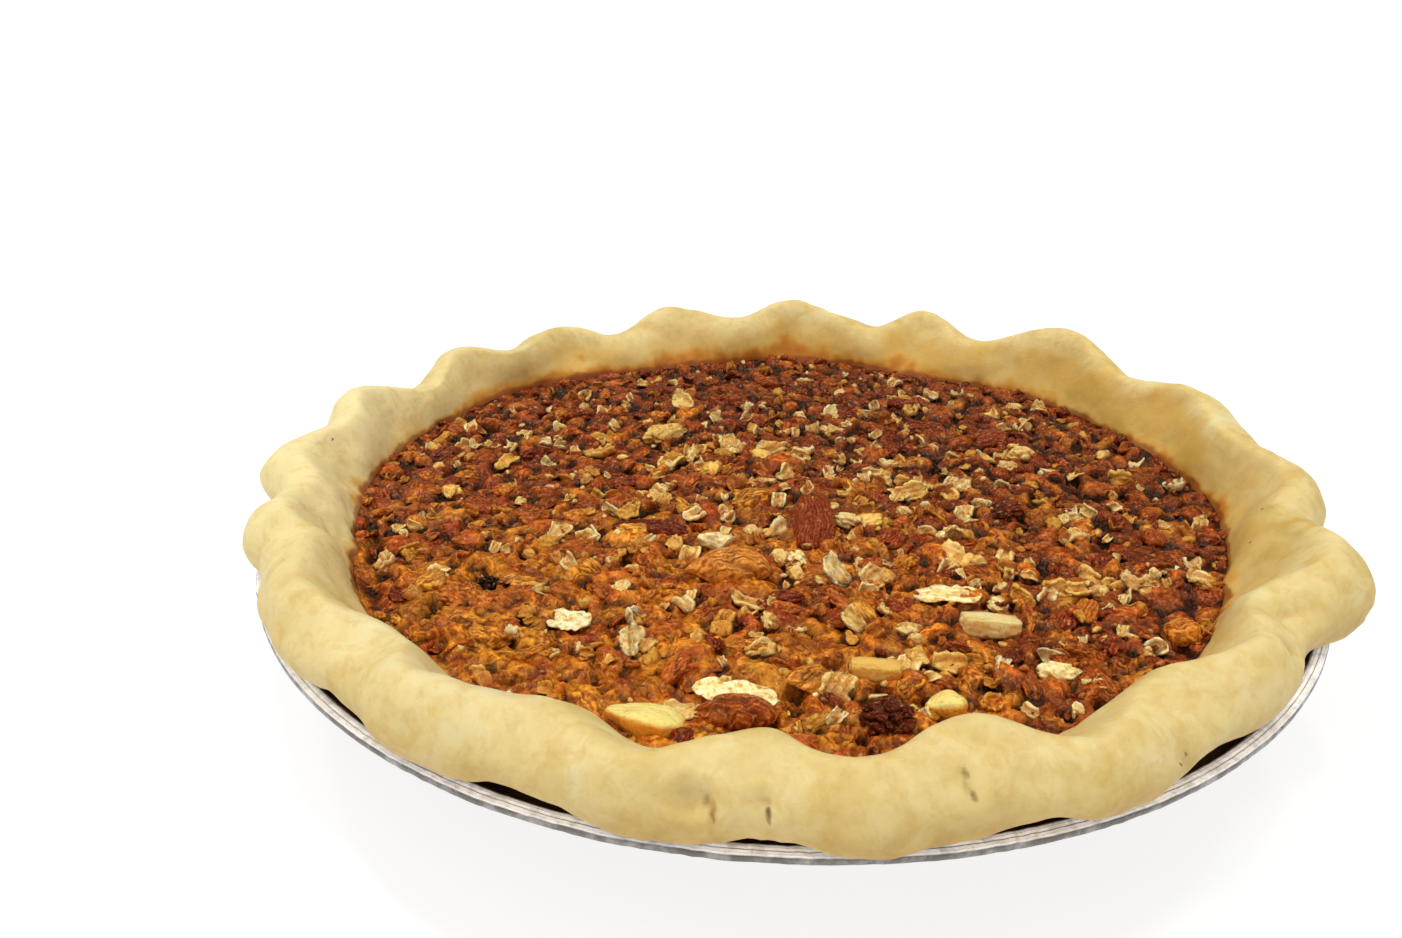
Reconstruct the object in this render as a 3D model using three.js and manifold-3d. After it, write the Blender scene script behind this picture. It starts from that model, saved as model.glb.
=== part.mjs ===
// Pecan pie, nine inch, baked in its disposable foil tin.
// Millimetres, +Z up. The origin is on the resting surface at the tin's axis, the front of the pie is towards -Y.
// Azimuths are in degrees, counter-clockwise from +X.
import * as THREE from 'three';
import { mergeVertices } from 'three/addons/utils/BufferGeometryUtils.js';
import Module from 'manifold-3d';

// ---- driving sizes -------------------------------------------------------------------------------------------------
const TIN = {
  rimR: 115,        // outside of the rolled edge: a nine inch tin
  rimTop: 29.0,     // top of the rolled edge
  flangeTop: 28.5,  // upper side of the flat flange
  flangeInR: 107.3, // where the flange turns down into the wall
  baseR: 80,        // flat of the base
  cornerR: 83.4,    // foot of the wall
  foil: 0.7,        // wall of the solid that stands for the foil
  segments: 60,
};
const GAP = 0.35;           // clear space between neighbouring pieces
const CRUST = {
  base: 4.2,                // pastry under the filling
  steps: 108,               // six steps for each flute
  gapLift: 1.6,             // how far the rope of pastry stands off the flange where it is pinched inwards
};
const FILLING = {
  edgeZ: 29.5,              // height of the filling where it meets the pastry
  crown: 1.6,               // how much higher it is in the middle
  lump: 1.1,                // half height of the lumps of chopped nuts
  rings: 9, steps: 54,
};

// The crimped edge. Each row is one flute: where the pastry was pushed out (azimuth, outer reach, crest radius, crest
// height) and where it was pinched in after it (the same four). The flutes were made by hand and differ.
const FLUTES = [
  [-28.5, 120.5, 111.5, 45.8, -16.8, 113.6, 105.6, 41.7],
  [-7.5, 118.3, 109.2, 43.5, 4.0, 114.4, 106.0, 42.2],
  [17.5, 120.6, 111.0, 43.8, 26.5, 114.6, 106.8, 42.0],
  [40.3, 120.8, 112.0, 47.4, 53.1, 112.8, 104.6, 39.8],
  [63.2, 119.0, 110.5, 44.7, 70.9, 112.8, 104.6, 39.7],
  [85.0, 118.9, 110.4, 44.9, 93.7, 112.8, 104.8, 40.3],
  [104.4, 118.6, 110.0, 43.4, 114.2, 113.0, 104.6, 38.1],
  [124.0, 118.5, 109.8, 41.8, 134.6, 112.3, 104.0, 39.8],
  [141.8, 117.7, 109.4, 42.8, 151.8, 111.7, 103.2, 38.4],
  [161.8, 118.2, 109.6, 43.2, 170.0, 114.1, 105.9, 42.0],
  [180.6, 118.8, 109.8, 42.4, 187.7, 112.3, 104.4, 40.8],
  [198.3, 116.2, 107.8, 43.1, 201.8, 113.3, 105.0, 41.2],
  [215.2, 116.0, 108.8, 43.2, 228.4, 114.6, 104.0, 41.2],
  [235.1, 116.8, 110.8, 43.6, 248.2, 115.7, 107.6, 42.6],
  [255.8, 117.4, 111.6, 42.8, 265.2, 116.3, 106.0, 43.0],
  [271.5, 118.3, 110.5, 42.6, 281.4, 116.5, 106.4, 44.6],
  [290.2, 118.2, 111.8, 42.0, 301.0, 114.8, 104.3, 42.6],
  [310.6, 115.5, 108.6, 43.8, 320.4, 112.3, 103.0, 41.4],
];

// The larger pieces of pecan that lie on top: x, y, length, width, height, azimuth of the long axis, how far it is tipped.
const PIECES = {
  pecan_01: [-28.0, -84.6, 12.6, 9.6, 6.4, -13, 6],
  pecan_02: [-12.6, -82.6, 14.4, 7.6, 6.2, -8, -5],
  pecan_03: [12.5, -84.2, 9.8, 9.2, 6.8, 7, 0],
  pecan_04: [22.8, -80.2, 6.6, 6.2, 5.6, 10, 0],
  pecan_05: [35.9, -56.4, 11.4, 6.6, 5.0, -3, 4],
  pecan_06: [30.0, -45.8, 12.8, 6.4, 4.8, -8, -4],
  pecan_07: [5.9, -19.0, 18.6, 10.2, 6.6, 84, 8],
  pecan_08: [-5.6, -4.9, 11.5, 7.4, 6.0, 5, 0],
  pecan_09: [-29.3, -18.4, 15.2, 5.8, 5.0, -3, 0],
  pecan_10: [-13.1, -36.4, 15.4, 8.6, 6.4, 16, 3],
  pecan_11: [71.6, -57.2, 7.0, 6.8, 5.8, 20, 0],
  pecan_12: [-14.9, -26.4, 8.6, 6.0, 4.8, -6, 5],
  pecan_13: [-43.0, -55.4, 8.6, 6.2, 4.6, -15, 0],
  pecan_14: [-27.6, 33.2, 13.0, 7.6, 5.4, 15, 0],
  pecan_15: [61.3, 23.7, 10.4, 7.0, 5.2, 19, 0],
  pecan_16: [0.4, -74.0, 8.4, 7.0, 5.4, 32, 0],
  pecan_17: [12.4, -70.6, 9.4, 6.0, 4.6, -7, 0],
  pecan_18: [44.5, -71.0, 8.0, 6.4, 5.2, -12, 0],
};

const COLOURS = { tin: 0xd9d2c4, crust: 0xe4cc94, filling: 0x9a5629, pale: 0xe6cc92, brown: 0x9c5224 };

// ---- small helpers -------------------------------------------------------------------------------------------------
const rad = (d) => (d * Math.PI) / 180;
const wasm = await Module();
wasm.setup();

// A closed body from rings of points that run around the Z axis. The first and last entries of each section lie on the
// axis. section(azimuthDeg) gives the same number of [r, z] pairs at every azimuth, from the lower side of the axis
// outwards, over the rim and back.
function turned(section, steps) {
  const first = section(0);
  const n = first.length - 2;
  const pos = [0, 0, first[0][1]];
  for (let i = 0; i < steps; i++) {
    const a = (i / steps) * 360;
    const s = section(a);
    for (let j = 1; j <= n; j++) pos.push(s[j][0] * Math.cos(rad(a)), s[j][0] * Math.sin(rad(a)), s[j][1]);
  }
  pos.push(0, 0, first[n + 1][1]);
  const top = 1 + steps * n;
  const at = (i, j) => 1 + (i % steps) * n + j;
  const idx = [];
  for (let i = 0; i < steps; i++) {
    idx.push(0, at(i + 1, 0), at(i, 0));
    for (let j = 0; j < n - 1; j++) {
      idx.push(at(i, j), at(i + 1, j), at(i + 1, j + 1));
      idx.push(at(i, j), at(i + 1, j + 1), at(i, j + 1));
    }
    idx.push(at(i, n - 1), at(i + 1, n - 1), top);
  }
  const g = new THREE.BufferGeometry();
  g.setAttribute('position', new THREE.Float32BufferAttribute(pos, 3));
  g.setIndex(idx);
  return g;
}

function toManifold(geometry) {
  const g = geometry.clone();
  g.deleteAttribute('normal');
  g.deleteAttribute('uv');
  const m = mergeVertices(g, 1e-4);
  return new wasm.Manifold(
    new wasm.Mesh({
      numProp: 3,
      vertProperties: new Float32Array(m.getAttribute('position').array),
      triVerts: new Uint32Array(m.getIndex().array),
    }),
  );
}

function fromManifold(solid) {
  const mesh = solid.getMesh();
  const g = new THREE.BufferGeometry();
  g.setAttribute('position', new THREE.Float32BufferAttribute(Float32Array.from(mesh.vertProperties), 3));
  g.setIndex(Array.from(mesh.triVerts));
  return g;
}

const group = new THREE.Group();
function add(name, geometry, colour, roughness, metalness = 0) {
  geometry.computeVertexNormals();
  const mesh = new THREE.Mesh(geometry, new THREE.MeshStandardMaterial({ color: colour, roughness, metalness }));
  mesh.name = name;
  group.add(mesh);
  return mesh;
}

// ---- the tin -------------------------------------------------------------------------------------------------------
const t = TIN.foil;
const wallTop = TIN.flangeTop - t;
const tinSection = [
  [0, 0],
  [TIN.baseR, 0],
  [TIN.baseR + 2.2, 0.45],
  [TIN.cornerR, 1.5],
  [TIN.flangeInR - 1.2, wallTop - 1.2],
  [TIN.flangeInR, wallTop],
  [TIN.rimR - 2.5, wallTop],
  [TIN.rimR - 1.6, wallTop - 0.35],
  [TIN.rimR - 0.5, wallTop - 0.1],
  [TIN.rimR, wallTop + 0.5],
  [TIN.rimR - 0.5, TIN.rimTop - 0.1],
  [TIN.rimR - 1.4, TIN.rimTop],
  [TIN.rimR - 2.2, TIN.flangeTop],
  [TIN.flangeInR - 0.4, TIN.flangeTop],
  [TIN.flangeInR - 1.2 - 0.75 * t, wallTop - 0.9],
  [TIN.cornerR - 1.0 * t, 1.9],
  [TIN.baseR + 1.4, t + 0.35],
  [TIN.baseR - 0.4, t],
  [0, t],
];
add('pan', turned(() => tinSection, TIN.segments), COLOURS.tin, 0.32, 0.9);
// inside of the tin's wall at a height
const tinInside = (z) => {
  const z0 = 1.9, r0 = TIN.cornerR - t, z1 = wallTop - 0.9, r1 = TIN.flangeInR - 1.2 - 0.75 * t;
  return r0 + ((z - z0) / (z1 - z0)) * (r1 - r0);
};

// ---- the crust -----------------------------------------------------------------------------------------------------
// knots in azimuth order: pushed out (flute 1) and pinched in (flute 0)
const knots = FLUTES.flatMap((f) => [
  { az: f[0], reach: f[1], crestR: f[2], crestZ: f[3], flute: 1 },
  { az: f[4], reach: f[5], crestR: f[6], crestZ: f[7], flute: 0 },
]);
function rim(azimuth) {
  let a = azimuth;
  while (a < knots[0].az) a += 360;
  while (a >= knots[0].az + 360) a -= 360;
  let k = knots.length - 1;
  while (knots[k].az > a) k--;
  const p = knots[k];
  const q = k + 1 < knots.length ? knots[k + 1] : { ...knots[0], az: knots[0].az + 360 };
  const s = (1 - Math.cos((Math.PI * (a - p.az)) / (q.az - p.az))) / 2;
  const mix = (key) => p[key] + (q[key] - p[key]) * s;
  return { reach: mix('reach'), crestR: mix('crestR'), crestZ: mix('crestZ'), flute: mix('flute') };
}
// radius of the line where the filling meets the pastry: not quite round
const EDGE_WAVES = [[1, 0.44, 303], [2, 0.74, 15], [3, 1.11, 293], [5, 0.86, 315], [6, 0.5, 225], [7, 0.46, 124], [8, 0.81, 40], [9, 0.45, 318]];
const fillingEdge = (az) => EDGE_WAVES.reduce((r, [k, a, p]) => r + a * Math.cos(rad(k * az + p)), 96.9);

const crustUnder = TIN.flangeTop + GAP + 0.25;
function crustSection(az) {
  const { reach, crestR, crestZ, flute } = rim(az);
  const edge = fillingEdge(az);
  const under = crustUnder + CRUST.gapLift * (1 - flute);
  const h = crestZ - under, hi = crestZ - FILLING.edgeZ, w = crestR - edge;
  const baseTop = TIN.foil + GAP + CRUST.base;
  return [
    [0, TIN.foil + GAP],
    [TIN.baseR - 0.6, TIN.foil + GAP],
    [tinInside(2.6) - 0.6, 2.6],
    [tinInside(26.4) - 0.6, 26.4],
    [tinInside(26.4) + 1.2, crustUnder],
    [reach - 5.2, Math.max(under, crustUnder)],
    [reach - 1.4, under + 1.9],
    [reach, under + 0.42 * h],
    [reach - 0.9, crestZ - 0.36 * h],
    [reach - 0.42 * (reach - crestR), crestZ - 0.12 * h],
    [crestR, crestZ],
    [crestR - 0.36 * w, crestZ - (0.12 + 0.18 * flute) * hi],
    [crestR - 0.72 * w, crestZ - (0.48 + 0.24 * flute) * hi],
    [edge + GAP, FILLING.edgeZ],
    [baseTop * 0.9 + 75.5, baseTop + 2.4],
    [75.2, baseTop],
    [0, baseTop],
  ];
}
add('crust', turned(crustSection, CRUST.steps), COLOURS.crust, 0.75);

// ---- the filling ---------------------------------------------------------------------------------------------------
// height of its top: a low crown with lumps of chopped nut
function fillingTop(x, y) {
  const r = Math.hypot(x, y) / 97;
  const lump =
    Math.sin(x * 0.29 + 1.3 * Math.sin(y * 0.13)) * Math.cos(y * 0.27 - 0.9 * Math.sin(x * 0.11)) +
    0.6 * Math.sin(x * 0.17 - y * 0.21 + 1.1) * Math.cos(x * 0.11 + y * 0.15);
  const fade = Math.min(1, Math.max(0, (1 - r) * 9));
  return FILLING.edgeZ + 0.6 * fade + FILLING.crown * (1 - r * r) + FILLING.lump * 0.7 * lump * fade;
}
function fillingSolid() {
  const base = TIN.foil + GAP + CRUST.base + GAP;
  const section = (az) => {
    const edge = fillingEdge(az);
    const c = Math.cos(rad(az)), s = Math.sin(rad(az));
    const pts = [[0, base], [74.6, base], [baseWall() - 0.2, base + 2.4], [edge - 0.25, FILLING.edgeZ - 0.15]];
    for (let k = 0; k < FILLING.rings; k++) {
      // rings at even steps from the edge to the middle
      const r = (edge - 2.0) * (1 - k / FILLING.rings);
      pts.push([r, fillingTop(r * c, r * s)]);
    }
    pts.push([0, fillingTop(0, 0)]);
    return pts;
  };
  return turned(section, FILLING.steps);
}
const baseWall = () => (TIN.foil + GAP + CRUST.base) * 0.9 + 75.5 - 0.55;

// A broken piece of pecan: rounded, tapered to one end, with a groove along its back.
function pecanPiece([x, y, length, width, height, azimuth, tip], seed, grow = 0) {
  const g = mergeVertices((() => { const s = new THREE.IcosahedronGeometry(1, 1); s.deleteAttribute('normal'); s.deleteAttribute('uv'); return s; })(), 1e-4);
  const p = g.getAttribute('position');
  for (let i = 0; i < p.count; i++) {
    const ux = p.getX(i), uy = p.getY(i), uz = p.getZ(i);
    const taper = 1 - 0.18 * ux * (seed % 2 ? 1 : -1);
    const uneven = 1 + 0.10 * Math.sin(3.1 * ux + 2.3 * uy + seed) + 0.07 * Math.cos(4.3 * uz - 2.1 * uy + 1.7 * seed);
    const groove = uz > 0 ? 1 - 0.22 * Math.exp(-((uy / 0.28) ** 2)) : 1;
    p.setXYZ(
      i,
      ux * (length / 2) * uneven + Math.sign(ux) * grow * Math.abs(ux),
      uy * (width / 2) * taper * uneven + uy * grow,
      uz * (height / 2) * groove * (uz < 0 ? 0.85 : 1) + uz * grow,
    );
  }
  g.rotateY(rad(tip));
  g.rotateZ(rad(azimuth));
  g.translate(x, y, fillingTop(x, y) - 0.04 * height);
  return g;
}

let body = toManifold(fillingSolid());
Object.entries(PIECES).forEach(([name, spec], i) => {
  body = body.subtract(toManifold(pecanPiece(spec, i + 1, GAP + 0.12)));
});
add('filling', fromManifold(body), COLOURS.filling, 0.35);
Object.entries(PIECES).forEach(([name, spec], i) => {
  add(name, pecanPiece(spec, i + 1), i % 3 === 1 ? COLOURS.brown : COLOURS.pale, 0.5);
});

export default group;
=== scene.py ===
"""Looks of the pecan pie: crimped crust, foil tin, filling with chopped pecans. Metres in the row frame; tables are in mm."""

import math

import bpy
import numpy as np
from mathutils import Matrix, Vector

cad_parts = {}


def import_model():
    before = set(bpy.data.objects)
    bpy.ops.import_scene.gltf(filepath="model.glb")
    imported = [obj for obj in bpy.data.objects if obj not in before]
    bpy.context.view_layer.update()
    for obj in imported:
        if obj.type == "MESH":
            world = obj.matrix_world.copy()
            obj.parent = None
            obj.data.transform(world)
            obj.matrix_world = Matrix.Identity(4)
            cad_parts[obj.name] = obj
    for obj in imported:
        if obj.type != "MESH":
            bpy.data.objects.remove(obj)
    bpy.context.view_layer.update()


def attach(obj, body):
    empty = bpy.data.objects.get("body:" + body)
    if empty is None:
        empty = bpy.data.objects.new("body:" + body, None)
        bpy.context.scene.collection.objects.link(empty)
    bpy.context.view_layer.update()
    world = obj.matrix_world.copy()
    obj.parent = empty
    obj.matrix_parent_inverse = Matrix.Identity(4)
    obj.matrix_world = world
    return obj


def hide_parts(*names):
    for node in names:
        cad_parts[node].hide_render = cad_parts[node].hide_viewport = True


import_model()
MM = 0.001
SEED = 20
rng = np.random.default_rng(SEED)

# ---------------------------------------------------------------------------------------------------------------------
# camera
# ---------------------------------------------------------------------------------------------------------------------
IMAGE_W, IMAGE_H = 1402, 938
CAM_F = 1114.88  # focal length in pixels of the whole frame
CAM_AT = (-18.247, -233.927, 143.284)
CAM_R = Vector((0.999998562, 0.000705055, 0.00154240))
CAM_U = Vector((-0.00169591, 0.41573837, 0.90948267))
CAM_W = Vector((0.0, 0.90948398, -0.41573896))


def make_camera():
    data = bpy.data.cameras.new("camera")
    data.sensor_width = 36.0
    data.lens = 36.0 * CAM_F / IMAGE_W
    data.clip_start, data.clip_end = 0.01, 60.0
    cam = bpy.data.objects.new("camera", data)
    m = Matrix.Identity(4)
    for i, axis in enumerate((CAM_R, CAM_U, -CAM_W)):
        for j in range(3):
            m[j][i] = axis[j]
    for j in range(3):
        m[j][3] = CAM_AT[j] * MM
    cam.matrix_world = m
    bpy.context.scene.collection.objects.link(cam)
    bpy.context.scene.camera = cam


make_camera()

# ---------------------------------------------------------------------------------------------------------------------
# numbers: noise, splines
# ---------------------------------------------------------------------------------------------------------------------


def _hash(ix, iy, iz, seed):
    h = (ix * 374761393 + iy * 668265263 + iz * 1274126177 + seed * 974634777) & 0xFFFFFFFF
    h = ((h ^ (h >> 13)) * 1274126177) & 0xFFFFFFFF
    return (h ^ (h >> 16)) & 0xFFFFFFFF


def noise(P, scale, seed=0):
    """Gradient noise, about -1 to 1, with features of that size."""
    q = np.asarray(P, float) / scale
    if q.shape[-1] == 2:
        q = np.concatenate([q, np.full(q.shape[:-1] + (1,), 0.37)], -1)
    i = np.floor(q).astype(np.int64)
    f = q - i
    u = f * f * f * (f * (f * 6 - 15) + 10)
    out = np.zeros(q.shape[:-1])
    for dx in (0, 1):
        for dy in (0, 1):
            for dz in (0, 1):
                h = _hash(i[..., 0] + dx, i[..., 1] + dy, i[..., 2] + dz, seed)
                gx = (h & 1023) / 511.5 - 1
                gy = ((h >> 10) & 1023) / 511.5 - 1
                gz = ((h >> 20) & 1023) / 511.5 - 1
                d = gx * (f[..., 0] - dx) + gy * (f[..., 1] - dy) + gz * (f[..., 2] - dz)
                w = (
                    (u[..., 0] if dx else 1 - u[..., 0])
                    * (u[..., 1] if dy else 1 - u[..., 1])
                    * (u[..., 2] if dz else 1 - u[..., 2])
                )
                out += w * d
    return out * 1.3


def fbm(P, scale, octaves=3, seed=0, gain=0.5):
    out, amp = 0.0, 1.0
    for k in range(octaves):
        out = out + amp * noise(P, scale / 2**k, seed + 17 * k)
        amp *= gain
    return out


def smooth(a, b, x):
    t = np.clip((x - a) / (b - a), 0, 1)
    return t * t * (3 - 2 * t)


def catmull(points, counts):
    """points (N, K, 2): a curve through K knots at each of N azimuths, with counts[i] steps on span i."""
    k = points.shape[1]
    out = []
    for i in range(k - 1):
        p0, p1, p2, p3 = points[:, max(i - 1, 0)], points[:, i], points[:, i + 1], points[:, min(i + 2, k - 1)]
        for j in range(counts[i]):
            t = j / counts[i]
            out.append(
                0.5 * (2 * p1 + (p2 - p0) * t + (2 * p0 - 5 * p1 + 4 * p2 - p3) * t * t + (3 * p1 - p0 - 3 * p2 + p3) * t**3)
            )
    out.append(points[:, -1])
    return np.stack(out, 1)


def srgb(r, g, b):
    """8 bit display colour to the linear one that shaders take."""
    c = np.array([r, g, b], float) / 255
    return tuple(np.where(c <= 0.04045, c / 12.92, ((c + 0.055) / 1.055) ** 2.4))


# ---------------------------------------------------------------------------------------------------------------------
# mesh and material helpers
# ---------------------------------------------------------------------------------------------------------------------


def new_mesh(name, verts_mm, faces, material, smooth_shade=True, attrs=None):
    """faces: an array (F, 3) or (F, 4), or a list of such arrays."""
    groups = faces if isinstance(faces, list) else [faces]
    me = bpy.data.meshes.new(name)
    v = np.asarray(verts_mm, np.float32) * MM
    me.vertices.add(len(v))
    me.vertices.foreach_set("co", v.ravel())
    loops = np.concatenate([g.ravel() for g in groups]).astype(np.int32)
    sizes = np.concatenate([np.full(len(g), g.shape[1], np.int32) for g in groups])
    starts = np.concatenate([[0], np.cumsum(sizes)[:-1]]).astype(np.int32)
    me.loops.add(len(loops))
    me.loops.foreach_set("vertex_index", loops)
    me.polygons.add(len(sizes))
    me.polygons.foreach_set("loop_start", starts)
    me.polygons.foreach_set("use_smooth", np.full(len(sizes), smooth_shade, bool))
    me.update(calc_edges=True)
    me.validate(clean_customdata=False)
    for key, values in (attrs or {}).items():
        values = np.asarray(values, np.float32)
        if values.ndim == 1:
            a = me.attributes.new(key, "FLOAT", "POINT")
            a.data.foreach_set("value", values)
        else:
            a = me.attributes.new(key, "FLOAT_COLOR", "POINT")
            rgba = np.ones((len(values), 4), np.float32)
            rgba[:, :3] = values
            a.data.foreach_set("color", rgba.ravel())
    me.materials.append(material)
    o = bpy.data.objects.new(name, me)
    bpy.context.scene.collection.objects.link(o)
    return o


def normals_of(P):
    """Normals of a grid of points (N, M, 3) that closes on itself along the first axis."""
    du = np.roll(P, -1, 0) - np.roll(P, 1, 0)
    dv = np.gradient(P, axis=1)
    n = np.cross(du, dv)
    return n / np.maximum(np.linalg.norm(n, axis=-1, keepdims=True), 1e-9)


def ring_faces(n, m):
    """Quads of a grid of n azimuths by m points of section, closed along azimuth. Vertex (i, j) is i * m + j."""
    i = np.arange(n)[:, None]
    j = np.arange(m - 1)[None, :]
    a = i * m + j
    b = ((i + 1) % n) * m + j
    return np.stack([a, b, b + 1, a + 1], -1).reshape(-1, 4)


class Shader:
    """A small builder of node materials."""

    def __init__(self, name):
        self.m = bpy.data.materials.new(name)
        self.m.use_nodes = True
        self.t = self.m.node_tree
        self.t.nodes.clear()
        self.out = self.node("ShaderNodeOutputMaterial")
        self.p = self.node("ShaderNodeBsdfPrincipled")
        self.t.links.new(self.p.outputs[0], self.out.inputs["Surface"])
        self.coord = self.node("ShaderNodeTexCoord").outputs["Object"]

    def node(self, kind, **props):
        n = self.t.nodes.new(kind)
        for k, v in props.items():
            setattr(n, k, v)
        return n

    def put(self, socket, value):
        if isinstance(value, bpy.types.NodeSocket):
            self.t.links.new(value, socket)
        elif isinstance(value, (tuple, list)) and len(value) == 3 and socket.type == "RGBA":
            socket.default_value = (*value, 1.0)
        elif isinstance(value, (tuple, list)):
            socket.default_value = tuple(value)
        else:
            socket.default_value = value

    def set(self, **values):
        names = {
            "base": "Base Color", "rough": "Roughness", "metal": "Metallic", "spec": "Specular IOR Level", "sss": "Subsurface Weight",
            "sss_radius": "Subsurface Radius", "sss_scale": "Subsurface Scale", "coat": "Coat Weight", "coat_rough": "Coat Roughness",
            "normal": "Normal", "ior": "IOR", "sheen": "Sheen Weight", "coat_tint": "Coat Tint",
        }
        for k, v in values.items():
            self.put(self.p.inputs[names[k]], v)

    def attr(self, name, kind="Fac"):
        n = self.node("ShaderNodeAttribute", attribute_type="GEOMETRY", attribute_name=name)
        return n.outputs[kind]

    def noise(self, size_mm, detail=2.0, rough=0.5, distortion=0.0, stretch=None):
        n = self.node("ShaderNodeTexNoise")
        v = self.coord
        if stretch:
            mp = self.node("ShaderNodeMapping")
            self.put(mp.inputs["Vector"], v)
            mp.inputs["Scale"].default_value = stretch
            v = mp.outputs[0]
        self.put(n.inputs["Vector"], v)
        n.inputs["Scale"].default_value = 1000.0 / size_mm
        n.inputs["Detail"].default_value = detail
        n.inputs["Roughness"].default_value = rough
        n.inputs["Distortion"].default_value = distortion
        return n.outputs["Fac"]

    def voronoi(self, size_mm, feature="F1", out="Distance"):
        n = self.node("ShaderNodeTexVoronoi", feature=feature)
        self.put(n.inputs["Vector"], self.coord)
        n.inputs["Scale"].default_value = 1000.0 / size_mm
        return n.outputs[out]

    def ramp(self, fac, stops):
        n = self.node("ShaderNodeValToRGB")
        self.put(n.inputs["Fac"], fac)
        el = n.color_ramp.elements
        while len(el) < len(stops):
            el.new(0.5)
        for e, (pos, col) in zip(el, stops):
            e.position = pos
            e.color = (*col, 1.0) if len(col) == 3 else col
        return n.outputs["Color"]

    def range(self, x, a, b, c=0.0, d=1.0, smoothed=True):
        n = self.node("ShaderNodeMapRange", interpolation_type="SMOOTHSTEP" if smoothed else "LINEAR")
        self.put(n.inputs["Value"], x)
        n.inputs["From Min"].default_value, n.inputs["From Max"].default_value = a, b
        n.inputs["To Min"].default_value, n.inputs["To Max"].default_value = c, d
        return n.outputs["Result"]

    def math(self, op, a, b=0.0, c=None):
        n = self.node("ShaderNodeMath", operation=op)
        self.put(n.inputs[0], a)
        self.put(n.inputs[1], b)
        if c is not None:
            self.put(n.inputs[2], c)
        return n.outputs[0]

    def mix(self, fac, a, b, blend="MIX"):
        n = self.node("ShaderNodeMix", data_type="RGBA", blend_type=blend)
        self.put(n.inputs["Factor"], fac)
        self.put(n.inputs["A"] if False else n.inputs[6], a)
        self.put(n.inputs[7], b)
        return n.outputs[2]

    def vector(self, op, a, b=None, scale=None):
        n = self.node("ShaderNodeVectorMath", operation=op)
        self.put(n.inputs[0], a)
        if b is not None:
            self.put(n.inputs[1], b)
        if scale is not None:
            self.put(n.inputs["Scale"], scale)
        return n.outputs["Value"] if op in ("DOT_PRODUCT", "LENGTH", "DISTANCE") else n.outputs[0]

    def line(self, coord, a, b, half_mm):
        """1 on a thin line between two points in mm, 0 away from it, thinner towards its ends."""
        a, b = Vector(a) * MM, Vector(b) * MM
        d = b - a
        rel = self.vector("SUBTRACT", coord, tuple(a))
        t = self.math("DIVIDE", self.vector("DOT_PRODUCT", rel, tuple(d)), d.length_squared)
        clamp = self.node("ShaderNodeClamp")
        self.put(clamp.inputs[0], t)
        near = self.vector("SCALE", tuple(d), scale=clamp.outputs[0])
        away = self.vector("DISTANCE", rel, near)
        # a parabola along the line: full in the middle, a fifth at the ends
        mid = self.math("SUBTRACT", clamp.outputs[0], 0.5)
        wide = self.math("MULTIPLY_ADD", self.math("MULTIPLY", mid, mid), -3.2, 1.0)
        return self.math("MULTIPLY", self.range(self.math("DIVIDE", away, wide), half_mm * MM * 1.6, half_mm * MM * 0.3), wide)

    def bump(self, height, dist_mm, strength=1.0, normal=None):
        n = self.node("ShaderNodeBump")
        n.inputs["Strength"].default_value = strength
        n.inputs["Distance"].default_value = dist_mm * MM
        self.put(n.inputs["Height"], height)
        if normal is not None:
            self.put(n.inputs["Normal"], normal)
        return n.outputs[0]


# ---------------------------------------------------------------------------------------------------------------------
# the crimped crust: the same table and section as the solid, drawn smooth and then worked over
# ---------------------------------------------------------------------------------------------------------------------
TIN_RIM_R, TIN_FLANGE_Z, TIN_FLANGE_IN_R, TIN_BASE_R, TIN_CORNER_R, TIN_TOP = 115.0, 28.5, 107.3, 80.0, 83.4, 29.0
GAP, EDGE_Z, BASE_T = 0.35, 29.5, 4.2
# pushed out (azimuth, reach, crest radius, crest height), then pinched in (the same)
FLUTES = [
    (-28.5, 120.5, 111.5, 45.8, -16.8, 113.6, 105.6, 41.7),
    (-7.5, 118.3, 109.2, 43.5, 4.0, 114.4, 106.0, 42.2),
    (17.5, 120.6, 111.0, 43.8, 26.5, 114.6, 106.8, 42.0),
    (40.3, 120.8, 112.0, 47.4, 53.1, 112.8, 104.6, 39.8),
    (63.2, 119.0, 110.5, 44.7, 70.9, 112.8, 104.6, 39.7),
    (85.0, 118.9, 110.4, 44.9, 93.7, 112.8, 104.8, 40.3),
    (104.4, 118.6, 110.0, 43.4, 114.2, 113.0, 104.6, 38.1),
    (124.0, 118.5, 109.8, 41.8, 134.6, 112.3, 104.0, 39.8),
    (141.8, 117.7, 109.4, 42.8, 151.8, 111.7, 103.2, 38.4),
    (161.8, 118.2, 109.6, 43.2, 170.0, 114.1, 105.9, 42.0),
    (180.6, 118.8, 109.8, 42.4, 187.7, 112.3, 104.4, 40.8),
    (198.3, 116.2, 107.8, 43.1, 201.8, 113.3, 105.0, 41.2),
    (215.2, 116.0, 108.8, 43.2, 228.4, 114.6, 104.0, 41.2),
    (235.1, 116.8, 110.8, 43.6, 248.2, 115.7, 107.6, 42.6),
    (255.8, 117.4, 111.6, 42.8, 265.2, 116.3, 106.0, 43.0),
    (271.5, 118.3, 110.5, 42.6, 281.4, 116.5, 106.4, 44.6),
    (290.2, 118.2, 111.8, 42.0, 301.0, 114.8, 104.3, 42.6),
    (310.6, 115.5, 108.6, 43.8, 320.4, 112.3, 103.0, 41.4),
]
KNOTS = np.array([r for f in FLUTES for r in ((*f[:4], 1.0), (*f[4:], 0.0))])
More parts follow.
